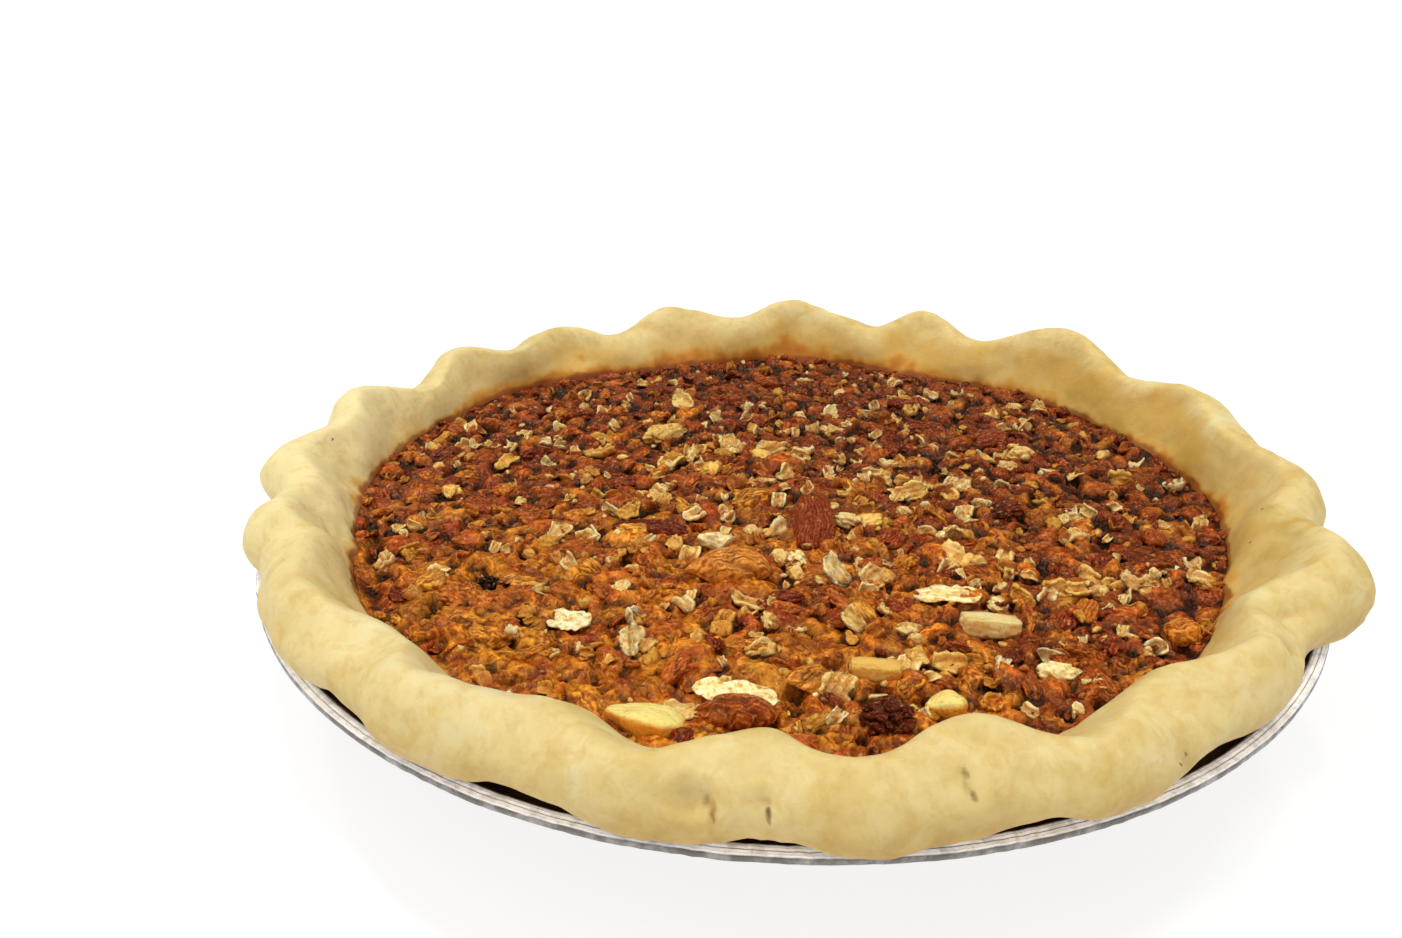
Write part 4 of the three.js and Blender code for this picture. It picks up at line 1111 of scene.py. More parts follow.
def scatter(r, count, spacing, limit=0.0, tries=40000):
    """Points inside the filling's edge that keep their distance."""
    cell = {}
    pts = []
    for _ in range(tries):
        if len(pts) >= count:
            break
        a, q = r.uniform(0, 360), math.sqrt(r.uniform()) * 101
        x, y = q * math.cos(math.radians(a)), q * math.sin(math.radians(a))
        if q > float(filling_edge(np.array(a))) - limit:
            continue
        key = (int(x // spacing), int(y // spacing))
        near = [p for i in (-1, 0, 1) for j in (-1, 0, 1) for p in cell.get((key[0] + i, key[1] + j), ())]
        if any((x - px) ** 2 + (y - py) ** 2 < spacing * spacing for px, py in near):
            continue
        cell.setdefault(key, []).append((x, y))
        pts.append((x, y))
    return np.array(pts)


def window(x, y, reach):
    """The raster's cells round a point."""
    k = int(math.ceil(reach / RASTER))
    i0, j0 = int(round(x / RASTER + MID)), int(round(y / RASTER + MID))
    return slice(max(i0 - k, 0), min(i0 + k + 1, NPX)), slice(max(j0 - k, 0), min(j0 + k + 1, NPX))


def build_core():
    """Rasters of height, colour with its painted shade, and crevice shade for the glazed core: coated nuts that run
    into each other.
    """
    r = np.random.default_rng(SEED + 1)
    c = (np.arange(NPX) - MID) * RASTER
    X, Y = np.meshgrid(c, c, indexing="ij")
    P2 = np.stack([X, Y], -1)
    WX = X + 1.0 * noise(P2, 4.5, 80) + 0.5 * noise(P2, 1.9, 81)
    WY = Y + 1.0 * noise(P2, 4.5, 82) + 0.5 * noise(P2, 1.9, 83)
    H = core_level(X, Y) - 0.6 + 0.35 * fbm(P2, 9.0, 3, 70)
    C = np.empty((NPX, NPX, 3))
    C[:] = srgb(128, 56, 20)
    G = 3.0 * noise(P2, 8.0, 96)
    jobs = [(p, "mid") for p in scatter(r, 820, 4.8, 0.2)] + [(p, "big") for p in scatter(r, 640, 6.0, 0.8)]
    soft = 0.40
    for (x, y), size in jobs:
        a = r.uniform(3.0, 7.0) if size == "big" else r.uniform(1.7, 3.4)
        b = a * r.uniform(0.30, 0.75)
        up = r.uniform(0.9, 2.6) if size == "big" else r.uniform(0.6, 1.5)
        th = r.uniform(0, np.pi)
        si, sj = window(x, y, a * 1.7)
        dx, dy = WX[si, sj] - x, WY[si, sj] - y
        u, w = (dx * math.cos(th) + dy * math.sin(th)) / a, (-dx * math.sin(th) + dy * math.cos(th)) / b
        p = r.uniform(1.8, 3.2)
        q = (np.abs(u) ** p + np.abs(w) ** p) ** (1 / p)
        z0 = float(core_level(np.array(x), np.array(y))) - 1.0 + r.uniform(-0.3, 0.3)
        dome = 1 - q ** r.uniform(2.2, 4.5)
        # lobes and a groove along it
        fold = smooth(0.0, 0.30, np.abs(w - 0.25 * r.normal() - 0.15 * u)) if r.uniform() < 0.4 else 1.0
        top = z0 + up * (dome - 0.22 * (1 - fold)) + r.normal() * 0.12 * dx + r.normal() * 0.12 * dy
        top = np.maximum(top, z0 - 3.0)
        old = H[si, sj]
        h = np.clip(1 - np.abs(top - old) / soft, 0, 1)
        H[si, sj] = np.maximum(top, old) + h * h * soft / 4
        weight = np.clip(0.5 + (top - old) / 0.25, 0, 1)[..., None]
        G[si, sj] = np.where(top > old, w * b, G[si, sj])
        # painted light and shade: each lump lighter on its dome, darker towards its rim and in its groove, times a
        # random tone
        lump_shade = (0.50 + 0.50 * np.clip(dome, 0, 1) - 0.25 * (1 - fold))[..., None] * r.uniform(0.55, 1.30)
        C[si, sj] = C[si, sj] * (1 - weight) + palette(r, region_kind(r, x, y)) * lump_shade * weight
    # syrup stands between them, most of all on the near left
    near = smooth(30, -50, Y) * smooth(85, -30, X)
    pool = blur(H, 12) - 0.02 + 0.10 * near
    amount = np.clip(smooth(0.24, 0.56, 0.5 + 0.5 * noise(P2, 10.0, 99)) * 0.92 + 0.55 * near, 0, 1)
    over = H - pool
    sunk = (amount * smooth(0.15, -0.35, over))[..., None]
    H = H * (1 - amount) + amount * (pool + 0.5 * (over + np.sqrt(over**2 + 0.09)) - 0.10)
    syrup = np.array(srgb(124, 50, 18)) * (1 - near[..., None]) + np.array(srgb(196, 112, 32)) * near[..., None]
    gold = (near * smooth(0.52, 0.70, 0.5 + 0.5 * fbm(P2, 9.0, 2, 88)))[..., None]
    syrup = syrup * (1 - gold) + np.array(srgb(222, 146, 42)) * gold
    C = C * (1 - sunk) + (0.45 * blur(C, 4) + 0.55 * syrup) * sunk
    C = C * (1 - 0.42 * gold) + 0.42 * np.array(srgb(206, 134, 42)) * gold
    # the syrup's skin dried in wrinkles
    wrinkle = 1 - np.abs(noise(np.stack([WX, WY], -1), 2.4, 90)) * 3
    fine = 1 - np.abs(noise(np.stack([WX, WY], -1), 1.25, 94)) * 3
    H = H + 0.24 * np.cos(G * 2.9 + 1.6 * noise(P2, 2.6, 97)) * smooth(0.35, 0.6, 0.5 + 0.5 * noise(P2, 6.0, 98))
    H = H + 0.26 * smooth(0.1, 1.0, wrinkle) + 0.14 * smooth(0.1, 1.0, fine) + 0.11 * noise(P2, 1.5, 91) + 0.06 * noise(P2, 0.9, 92)
    # crevices are deep, and painted dark as shade
    for x, y, length, width, _, _ in PALE_NUTS:
        # a shadowed gap round the nuts that lie on top
        a = 0.40 * min(max(length, width), 9.0) + 0.9
        si, sj = window(x, y, a * 1.5)
        q = np.hypot(WX[si, sj] - x, (WY[si, sj] - y + 0.5) * 1.2) / a
        H[si, sj] -= 0.7 * smooth(1.25, 0.7, q)
    rel = H - blur(H, 9)
    far = smooth(-20, 60, Y + 0.35 * X)
    crevice_shade = smooth(-0.03, -0.52, rel + 0.2 * noise(P2, 2.0, 93) - 0.12 * far)
    H = H - 0.9 * crevice_shade * smooth(0.1, 0.6, 0.5 + 0.5 * noise(P2, 11, 77))
    for x, y, length, width, turn in PITS + [(*p, r.uniform(1.6, 4.0), r.uniform(1.1, 2.2), r.uniform(-90, 90)) for p in scatter(r, 170, 9.5, 2.0)]:
        a, b, th = max(length, 1.8) / 2 + 0.5, max(width, 1.4) / 2 + 0.4, math.radians(turn)
        si, sj = window(x, y, a * 2.4)
        dx, dy = WX[si, sj] - x, WY[si, sj] - y
        q = np.hypot((dx * math.cos(th) + dy * math.sin(th)) / a, (-dx * math.sin(th) + dy * math.cos(th)) / b)
        hole = smooth(1.45, 0.45, q)
        H[si, sj] -= 2.5 * hole
        crevice_shade[si, sj] = np.maximum(crevice_shade[si, sj], hole)
    C = 0.6 * C + 0.4 * blur(C, 2)
    # painted shade and light: darker in hollows, lighter on ridges and wrinkles; crevices and holes painted near black
    tone = (0.50 + 0.92 * smooth(-0.65, 0.95, rel) + 0.16 * smooth(0.3, 1.0, fine) + 0.10 * smooth(0.3, 1.0, wrinkle))[..., None]
    dark = np.array(srgb(64, 18, 8))
    zone = (smooth(10, -55, Y) * smooth(70, -10, X))[..., None]
    # less painted shade on the near left, which is also more golden
    tone = tone * (1 - 0.24 * zone) + 0.24 * 0.96 * zone
    crevice_shade = crevice_shade * (1 - 0.38 * zone[..., 0])
    deep = (0.88 * crevice_shade)[..., None]
    C = C * (1 + zone * np.array([0.15, 0.25, 0.02])) * np.array([1.08, 0.98, 0.72])
    C = C * tone * dimmer(X, Y)[..., None] * (1 - deep) + dark * deep
    # the edge sinks a little where it drew back from the pastry
    inset = filling_edge(np.degrees(np.arctan2(Y, X))) - np.hypot(X, Y)
    H = H - 0.8 * smooth(2.2, 0.0, inset) * noise(P2, 9, 78)
    H = np.maximum(H, EDGE_Z - 0.4 - 0.6 * inset)
    return H, C, crevice_shade, G


def square_to_disc(n):
    """Even map of an n by n grid to the unit disc. Returns points (n, n, 2)."""
    s = np.linspace(-1, 1, n)
    a, b = np.meshgrid(s, s, indexing="ij")
    big = np.abs(a) > np.abs(b)
    with np.errstate(divide="ignore", invalid="ignore"):
        rr = np.where(big, a, b)
        phi = np.where(big, (np.pi / 4) * (b / np.where(a == 0, 1, a)), np.pi / 2 - (np.pi / 4) * (a / np.where(b == 0, 1, b)))
    return np.stack([rr * np.cos(phi), rr * np.sin(phi)], -1)


def core_mesh(material):
    n = 270
    D = square_to_disc(n)
    az = np.degrees(np.arctan2(D[..., 1], D[..., 0]))
    XY = D * (filling_edge(az) + 0.35)[..., None]
    z = sample(H, XY[..., 0], XY[..., 1])
    V = np.concatenate([XY, z[..., None]], -1).reshape(-1, 3)
    i = np.arange(n - 1)[:, None]
    j = np.arange(n - 1)[None, :]
    a = (i * n + j).ravel()
    quads = np.stack([a, a + n, a + n + 1, a + 1], -1)
    loop = np.array([i * n for i in range(n)] + [(n - 1) * n + j for j in range(1, n)] + [i * n + n - 1 for i in range(n - 2, -1, -1)] + [j for j in range(n - 2, 0, -1)])
    k = len(loop)
    top = V[loop]
    ang = np.degrees(np.arctan2(top[:, 1], top[:, 0]))
    rows = []
    for dz, r in ((24.8, filling_edge(ang) - 2.6), (7.6, np.full(k, 79.8)), (5.7, np.full(k, 75.0))):
        rows.append(np.stack([r * np.cos(np.radians(ang)), r * np.sin(np.radians(ang)), np.full(k, dz)], -1))
    base = len(V)
    V = np.concatenate([V, *rows, [[0, 0, 5.7]]])
    ids = [loop] + [base + q * k + np.arange(k) for q in range(3)]
    sides = []
    for lo, hi in zip(ids[1:], ids[:-1]):
        sides.append(np.stack([hi, lo, np.roll(lo, -1), np.roll(hi, -1)], -1))
    bottom = np.stack([ids[3], np.full(k, len(V) - 1), np.roll(ids[3], -1)], -1)
    x, y = V[:, 0], V[:, 1]
    o = new_mesh("filling_glazed", V, [quads] + sides + [bottom], material, attrs={"tint": sample(C, x, y), "cavity_shade": sample(CREVICE_SHADE, x, y), "grain": sample(GRAIN, x, y)})
    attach(o, "root")
    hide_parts("filling")
    return o


def glaze_material(name, gain=1.0, rough=0.24, mottle=1.0):
    """Coated nuts: the piece's own tint, broken up by veins of dark syrup, by light specks on dried ridges that are
    partly painted highlight, and by painted shade in the crevices.
    """
    s = Shader(name)
    tint = s.attr("tint", "Color")
    cavity_shade = s.attr("cavity_shade")
    mott = s.noise(2.8, 3, 0.55, 1.4)
    fine = s.noise(0.9, 3, 0.60, 0.8)
    # wrinkles of the kernel and of the dried syrup run along the piece
    phase = s.math("ADD", s.math("MULTIPLY", s.attr("grain"), 6.2), s.math("MULTIPLY", s.noise(2.8, 2, 0.5), 22.0))
    lines = s.math("SINE", phase)
    shown = s.range(s.noise(4.5, 2, 0.5), 0.42, 0.56, 0.25, 1.0)
    tone = s.math("ADD", s.math("MULTIPLY", mott, 0.33 * mottle), s.math("MULTIPLY", fine, 0.17 * mottle))
    tone = s.math("ADD", s.math("ADD", tone, 0.498 - 0.25 * mottle), s.math("MULTIPLY", s.math("MULTIPLY", lines, shown), 0.055))
    factor = s.ramp(tone, [
        (0.37, (0.12, 0.04, 0.02)), (0.445, (0.32, 0.18, 0.11)), (0.49, (0.50 * gain, 0.45 * gain, 0.29 * gain)),
        (0.54, (0.68 * gain, 0.68 * gain, 0.50 * gain)), (0.60, (0.95, 0.95, 0.74)),
    ])
    col = s.mix(1.0, tint, factor, "MULTIPLY")
    col = s.mix(1.0, col, (2.0, 2.0, 2.0), "MULTIPLY")
    # light specks on the ridges: dried syrup, and painted highlight; none in the crevices
    lift = s.math("MULTIPLY", s.range(s.math("ADD", fine, s.math("MULTIPLY", lines, 0.03)), 0.58, 0.72, 0.0, 0.45), s.range(cavity_shade, 0.5, 0.1))
    col = s.mix(lift, col, srgb(240, 192, 124))
    # painted shade: crevices and the parts sunk in the syrup go near black
    col = s.mix(s.range(cavity_shade, 0.18, 0.78, 0.0, 0.94), col, srgb(34, 7, 2))
    normal = s.bump(mott, 0.40, 0.7)
    normal = s.bump(lines, 0.16, 0.7, normal)
    normal = s.bump(fine, 0.30, 0.8, normal)
    s.set(base=col, rough=s.range(s.math("ADD", fine, s.math("MULTIPLY", cavity_shade, 0.5)), 0.35, 0.8, rough, rough + 0.22), spec=0.38, sss=0.14, coat=0.15, coat_rough=0.05,
          sss_radius=(1.0, 0.35, 0.10), sss_scale=0.002, normal=normal)
    s.put(s.p.inputs["Coat Normal"], normal)
    s.p.inputs["Specular Tint"].default_value = (1.0, 0.66, 0.34, 1)
    return s.m


def nut_material(name, rough, stain=0.8, climb=1.0, sss=0.18, mottle=1.0):
    """Bare flesh: cream on the ridges, amber in the folds and where it was cut thin, stained by the syrup that climbs it."""
    s = Shader(name)
    tint = s.attr("tint", "Color")
    skin = s.attr("skin")
    mott = s.noise(1.9, 5, 0.62, 0.9)
    fine = s.noise(0.7, 4, 0.65, 0.6)
    tone = s.math("ADD", s.math("MULTIPLY", mott, 0.55), s.math("MULTIPLY", fine, 0.45))
    if mottle < 1:
        tone = s.math("MULTIPLY_ADD", tone, mottle, 0.53 * (1 - mottle))
    phase = s.math("ADD", s.math("MULTIPLY", s.attr("grain"), 4.2), s.math("MULTIPLY", s.noise(2.6, 2, 0.5), 12.0))
    lines = s.math("SINE", phase)
    shown = s.range(s.noise(4.0, 2, 0.5), 0.44, 0.58, 0.0, 1.0)
    vein = s.math("MULTIPLY", s.range(lines, 0.55, 1.0), shown)
    factor = s.ramp(tone, [(0.38, (0.34, 0.18, 0.06)), (0.45, (0.49, 0.39, 0.21)), (0.50, (0.56, 0.52, 0.44)), (0.60, (0.60, 0.60, 0.59))])
    col = s.mix(1.0, s.mix(1.0, tint, factor, "MULTIPLY"), (2.0, 2.0, 2.0), "MULTIPLY")
    col = s.mix(s.math("MULTIPLY", vein, 0.50 * mottle), col, s.mix(1.0, col, (0.62, 0.40, 0.20), "MULTIPLY"))
    patch = s.math("ADD", skin, s.math("MULTIPLY", s.math("SUBTRACT", mott, 0.5), 0.9))
    col = s.mix(s.math("MULTIPLY", s.range(patch, 0.35, 1.0), stain), col, s.mix(s.range(fine, 0.4, 0.6), srgb(176, 102, 36), srgb(210, 148, 66)))
    wet = s.math("ADD", s.attr("wet"), s.math("MULTIPLY", s.math("SUBTRACT", fine, 0.5), 1.0))
    col = s.mix(s.range(wet, 0.35, 0.90, 0.0, climb), col, s.mix(s.range(fine, 0.42, 0.60), s.attr("syrup", "Color"), srgb(190, 108, 38)))
    # painted shade where the piece sinks into the syrup
    col = s.mix(s.range(s.attr("cavity_shade"), 0.2, 0.9, 0.0, 0.85), col, srgb(60, 18, 8))
    normal = s.bump(mott, 0.6, 0.8)
    normal = s.bump(vein, -0.18, 0.8, normal)
    normal = s.bump(fine, 0.28, 0.8, normal)
    s.set(base=col, rough=rough, spec=0.30, sss=sss, sss_radius=(1.0, 0.5, 0.2), sss_scale=0.0012 if sss < 0.3 else 0.003, normal=normal)
    s.p.inputs["Specular Tint"].default_value = (1.0, 0.88, 0.68, 1)
    return s.m


def place(V, size, tilt, turn, at, lean=0.0):
    """Unit shape to a piece: half sizes in mm, tilts and turn in degrees, centre in mm, then how far its top leans to the front."""
    V = (V * (np.array(size) / 2)) @ rotation(math.radians(tilt[0]), math.radians(tilt[1]), math.radians(turn)).T
    return V @ rotation(math.radians(lean), 0.0, 0.0).T + np.array(at)


# The larger nuts, which are also solids: x, y, length, width, height, azimuth, tip, what they look like, colour
PIECES = {
    "pecan_01": (-27.6, -83.6, 14.4, 9.0, 5.6, -16, 4, "wedge", "yellow"),
    "pecan_02": (-12.6, -82.6, 14.4, 7.6, 6.2, -8, -5, "long", "rust"),
    "pecan_03": (12.5, -84.2, 9.8, 9.2, 6.8, 7, 0, "crinkled", "dark"),
    "pecan_04": (22.8, -80.2, 7.0, 6.6, 6.6, 10, 0, "wedge", "yellow"),
    "pecan_05": (35.9, -56.4, 11.4, 6.6, 5.0, -3, 4, "block", "white"),
    "pecan_06": (30.0, -45.8, 12.8, 6.4, 4.8, -8, -4, "leaf", "white"),
    "pecan_07": (5.9, -18.0, 17.0, 10.6, 8.0, 84, -24, "half", "brown"),
    "pecan_08": (-5.6, -4.9, 11.5, 7.4, 6.0, 5, 0, "smooth", "amber"),
    "pecan_09": (-29.3, -18.0, 17.2, 5.0, 4.2, -4, 0, "half", "dark"),
    "pecan_10": (-12.6, -36.6, 17.6, 9.0, 8.2, 12, 6, "long", "rust"),
    "pecan_11": (71.6, -57.2, 7.0, 6.8, 5.8, 20, 0, "smooth", "amber"),
    "pecan_12": (-14.9, -26.4, 8.6, 6.0, 4.8, -6, 5, "pale", "white"),
    "pecan_13": (-43.0, -55.4, 8.6, 6.2, 4.6, -15, 0, "leaf", "white"),
    "pecan_14": (-27.6, 33.2, 13.0, 7.6, 5.4, 15, 0, "pale", "pale"),
    "pecan_15": (61.3, 23.7, 10.4, 7.0, 5.2, 19, 0, "pale", "pale"),
    "pecan_16": (0.4, -74.0, 8.4, 7.0, 5.4, 32, 0, "smooth", "amber"),
    "pecan_17": (12.4, -70.6, 9.4, 6.0, 4.6, -7, 0, "block", "pale"),
    "pecan_18": (44.5, -71.0, 8.0, 6.4, 5.2, -12, 0, "pale", "pale"),
}


def shell_tint(r, pale, colours="pale", deep="amber", stain=1.0):
    """A shell of flesh: cream on its rim and ridges, amber in the furrows."""
    cream, amber = palette(r, colours), palette(r, deep)
    m = np.clip(stain * (1 - pale), 0, 1)[:, None]
    return cream * (1 - m) + amber * m


def pale_tint(r, V, bulge, colours="pale", stain=0.75):
    """Flesh: cream on what stands proud, amber in folds and towards the rims. V is the piece in its unit box."""
    cream, amber = palette(r, colours), palette(r, "amber")
    rim = smooth(0.55, 1.05, np.hypot(V[:, 0], V[:, 1]))
    m = np.clip(stain * (1 - bulge) + 0.55 * rim * (0.6 + noise(V, 0.7, 77)) + 0.5 * noise(V, 0.9, 78), 0, 1)[:, None]
    return cream * (1 - m) + amber * m


def coat_tint(r, bulge, kind):
    """Coated: its own colour, with painted shade in the folds and painted highlight on the bulges."""
    return palette(r, kind) * np.array([1.06, 1.0, 0.80]) * (0.50 + 0.58 * bulge)[:, None]


def build_pecans(mats):
    r = np.random.default_rng(SEED + 2)
    for name, (x, y, length, width, height, turn, tip, look, kind) in PIECES.items():
        level = 4 if max(length, width) > 10 else 3
        z = float(sample(H_SOFT, x, y)) + (0.0 if look == "wedge" else 0.10) * height
        slot = "pecan_pale"
        mat = mats["pale"]
        if look == "half":
            V, F, skin = half_shape(r, cut=None if name in ("pecan_09", "pecan_10") else r.uniform(0.55, 0.8))
            mat, tint, slot = mats["smooth"], palette(r, kind) * np.array([1.06, 0.96, 0.74]) * (1.15 if kind == "dark" else 1.0), "pecan_brown"
        elif look == "crinkled":
            V, F, skin, bulge = kernel_shape(4, r, 0, 0.40, 0.2, (1, 1, 0.9), size=0.42)
            mat, tint, slot = mats["brown"], coat_tint(r, bulge, "dark"), "pecan_brown"
        elif look in ("cube", "block"):
            V, F, top = wedge_shape(4, r, 0.12)
            tint = pale_tint(r, V, 0.55 + 0.45 * top, kind, 0.3)
            skin = 0.3 * (1 - top)
            mat = mats["clear"]
        elif look == "long":
            V, F, skin, bulge = kernel_shape(4, r, 0, 0.14, 0.10, (2.0, 1, 1), size=1.4)
            V[:, 1:] *= (0.55 + 0.45 * smooth(-1.0, -0.2, V[:, 0]))[:, None]
            tone = srgb(160, 78, 32) if name == "pecan_02" else srgb(222, 146, 70)
            # painted shade in the folds and painted highlight on the bulges
            mat, tint, slot = mats["smooth"], np.array(tone) * (0.62 + 0.42 * bulge)[:, None], "pecan_brown"
        elif look == "smooth":
            V, F, skin, bulge = kernel_shape(level, r, 1, 0.12, 0.14, size=1.2)
            mat, tint = (mats["amber"], coat_tint(r, bulge, kind)) if kind == "amber" else (mat, pale_tint(r, V, bulge, kind, 0.8))
            skin = 0.3 * skin
        elif look == "wedge":
            V, F, top = wedge_shape(4, r)
            mat = mats["clear"]
            tint = np.array(srgb(255, 226, 146)) * top[:, None] + np.array(srgb(228, 162, 56)) * (1 - top)[:, None]
            skin = 0.15 * (1 - top)
        elif look == "leaf":
            V, F, skin = flake_shape(r, 33, 19, 0.16, 0.45)
            mat, tint, skin = mats["flake"], palette(r, kind), 0.6 * skin
        else:
            V, F, skin, bulge = kernel_shape(level, r, 2, 0.30, bend=0.15)
            tint, skin = pale_tint(r, V, bulge, kind, 0.45), 0.4 * skin
        V = place(V, (length, width, height), (r.normal() * 5, tip), turn, (x, y, z))
        o = new_mesh(name + "_nut", V, F, mat, attrs=piece_attrs(V, tint, skin))
        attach(o, "root")
        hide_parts(name)


def build_nuts(mats):
    r = np.random.default_rng(SEED + 3)
    heaps = {
        "pale": Heap("nuts_pale_pieces", mats["pale"], "pecan_pale"),
        "small": Heap("nuts_pale_small", mats["pale"], "pecan_pale"),
        "amber": Heap("nuts_chopped_amber", mats["amber"], "pecan_pale"),
        "rust": Heap("nuts_chopped_rust", mats["amber"], "pecan_pale"),
        "brown": Heap("nuts_in_skin", mats["brown"], "pecan_brown"),
        "flake": Heap("nuts_shavings", mats["flake"], "pecan_pale"),
        "crumb": Heap("nut_crumbs", mats["crumb"], "pecan_pale"),
    }

    def kernel(level, cuts=None, bend=0.3, face=None):
        cuts = int(r.integers(1, 4)) if cuts is None else cuts
        return kernel_shape(level, r, cuts, r.uniform(0.2, 0.42), r.uniform(0.07, 0.17), bend=r.normal() * bend, size=r.uniform(0.5, 0.9), face=face)

    def towards_front(turn):
        """Up and to the front, seen from a piece with that azimuth."""
        a = math.radians(turn)
        x, y, z = r.normal() * 0.4, -0.55, 0.75
        return x * math.cos(a) + y * math.sin(a), -x * math.sin(a) + y * math.cos(a), z

    taken = [(p[0], p[1], max(p[2], p[3]) / 2 + 0.3) for p in PIECES.values()]

    def free(x, y):
        return all((x - a) ** 2 + (y - b) ** 2 > q * q for a, b, q in taken)

    for x, y, length, width, height, turn, kind in SKINS:
        if r.uniform() < 0.4:
            V, F, skin = half_shape(r, cut=r.uniform(0.3, 0.8), nu=24, nv=14)
            tint = palette(r, kind) * np.array([1.05, 0.98, 0.78])
        else:
            V, F, skin, bulge = kernel(3)
            tint = coat_tint(r, bulge, kind)
        z = float(sample(H_SOFT, x, y)) - height * 0.02
        heap = kind if kind in ("amber", "rust") else "brown"
        heaps[heap].add(place(V, (length, width, height), (r.normal() * 8, r.normal() * 8), turn, (x, y, z)), F, tint, skin)
        taken.append((x, y, 0.35 * length))
    pale = []
    for x, y, length, width, turn, kind in PALE_NUTS:
        if length > 8.0 and kind != "w":
            # what looks like one long piece is two or three side by side
            k = 3 if length > 11.5 else 2
            c, s = math.cos(math.radians(turn)), 0.62 * math.sin(math.radians(turn))
            for i in range(k):
                u = (i - (k - 1) / 2) * length / k * 0.98
                pale.append((x + u * c + r.normal() * 0.5, y + u * s + r.normal() * 0.5, length / k * r.uniform(1.0, 1.45), width * r.uniform(0.7, 0.95), turn + r.normal() * 25, kind))
        else:
            pale.append((x, y, length, width, turn, kind))
    for x, y, length, width, turn, kind in pale:
        z = float(sample(H_SOFT, x, y))
        # a piece that stands up looks long from the front, so its depth is less than it seems
        c, s = math.cos(math.radians(turn)), math.sin(math.radians(turn))
        tall = math.hypot(length * s, width * c)
        L, W = length * math.hypot(c, 0.62 * s), width * math.hypot(s, 0.62 * c)
        turn = math.degrees(math.atan2(0.62 * s, c))
        rise = float(np.clip(0.37 * tall, 1.3, 3.8))
        if kind == "w" or r.uniform() < 0.55:
            curl = r.uniform(1.3, 2.1) if max(L, W) < 6 and r.uniform() < 0.5 else r.uniform(0.3, 1.2)
            V, F, skin, pale = shell_shape(r, 13, 10, r.uniform(0.15, 0.22), curl, r.uniform(1.4, 3.0))
            size = min(max(L, W) * 1.10, 8.5)
            V = place(V, (size, max(size * r.uniform(0.55, 0.85), W), size * r.uniform(0.34, 0.55)), (r.normal() * 16, r.normal() * 10), turn, (x, y, z + 0.35 + 0.28 * rise), r.uniform(5, 42))
            tint = shell_tint(r, pale, "white", "yellow", 0.8) if kind == "w" else shell_tint(r, pale, "pale" if kind == "p" else "yellow", "amber", 0.9)
            heaps["flake"].add(V, F, tint, skin)
        else:
            V, F, skin, bulge = kernel(3 if length > 4.4 else 2, int(r.integers(1, 4)), face=towards_front(turn) if r.uniform() < 0.7 else None)
            high = rise + 2.2
            V0 = V
            V = place(V, (L * 1.12, W * 1.12, high), (r.normal() * 12, r.normal() * 12), turn, (x, y, z + rise + 0.2 - high / 2), r.uniform(0, 25))
            tint = pale_tint(r, V0, bulge, "pale" if r.uniform() < 0.75 else "yellow", 0.45) if kind == "p" else pale_tint(r, V0, bulge, "yellow", 0.6)
            heaps["pale"].add(V, F, tint, skin * r.uniform(0.3, 1.0))
        taken.append((x, y, 0.40 * max(L, W)))
    # coated pieces between them
    for x, y in scatter(r, 560, 5.8, 2.5):
        if not free(x, y):
            continue
        kind = region_kind(r, x, y)
        L = 3.4 + 4.6 * r.uniform() ** 1.6
        if r.uniform() < 0.5:
            V, F, skin, bulge = shell_shape(r, 13, 9, r.uniform(0.16, 0.26), r.uniform(0.5, 1.3), r.uniform(1.6, 3.4))
        else:
            V, F, skin, bulge = kernel(3 if L > 7.4 else 2)
        size = (L, L * r.uniform(0.45, 0.85), L * r.uniform(0.28, 0.48))
        z = float(sample(H_SOFT, x, y)) + size[2] * r.uniform(-0.30, -0.05)
        heap = kind if kind in ("amber", "rust") else "brown"
        heaps[heap].add(place(V, size, (r.normal() * 16, r.normal() * 16), r.uniform(0, 360), (x, y, z)), F, coat_tint(r, bulge, kind), skin)
    for x, y in scatter(r, 700, 4.6, 3.0):
        if not free(x, y) or r.uniform() > 0.14 + 0.66 * math.exp(-(((x - 15) / 56) ** 2) - ((y - 8) / 44) ** 2):
            continue
        turn = r.uniform(0, 360)
        L = r.uniform(2.2, 5.0)
        size = (L, L * r.uniform(0.6, 0.95), L * r.uniform(0.5, 0.8))
        z = float(sample(H_SOFT, x, y)) + size[2] * r.uniform(-0.12, 0.12)
        if r.uniform() < 0.6:
            V, F, skin, pale = shell_shape(r, 9, 7, r.uniform(0.14, 0.24), r.uniform(0.6, 1.6), r.uniform(1.4, 2.6))
            tint = shell_tint(r, pale, "white" if r.uniform() < 0.4 else "pale", "amber", r.uniform(0.6, 1.0))
            heaps["flake"].add(place(V, size, (r.normal() * 18, r.normal() * 12), turn, (x, y, z + 0.2), r.uniform(0, 45)), F, tint, skin)
            continue
        V, F, skin, bulge = kernel(2, 2, face=towards_front(turn))
        heaps["small"].add(place(V, size, (r.normal() * 15, r.normal() * 15), turn, (x, y, z)), F, pale_tint(r, V, bulge, "pale" if r.uniform() < 0.6 else "yellow", 0.6), skin * 0.8)
    for _ in range(170):
        a = r.uniform(-180, 180)
        if -176 < a < -148:
            continue
        q = float(filling_edge(np.array(a))) - 1.6 + 2.0 * r.uniform() ** 2
        x, y = q * math.cos(math.radians(a)), q * math.sin(math.radians(a))
        kind = region_kind(r, x, y)
        L = r.uniform(2.4, 5.0)
        if r.uniform() < 0.5:
            V, F, skin, bulge = shell_shape(r, 11, 7, r.uniform(0.16, 0.26), r.uniform(0.5, 1.3), r.uniform(1.6, 3.0))
        else:
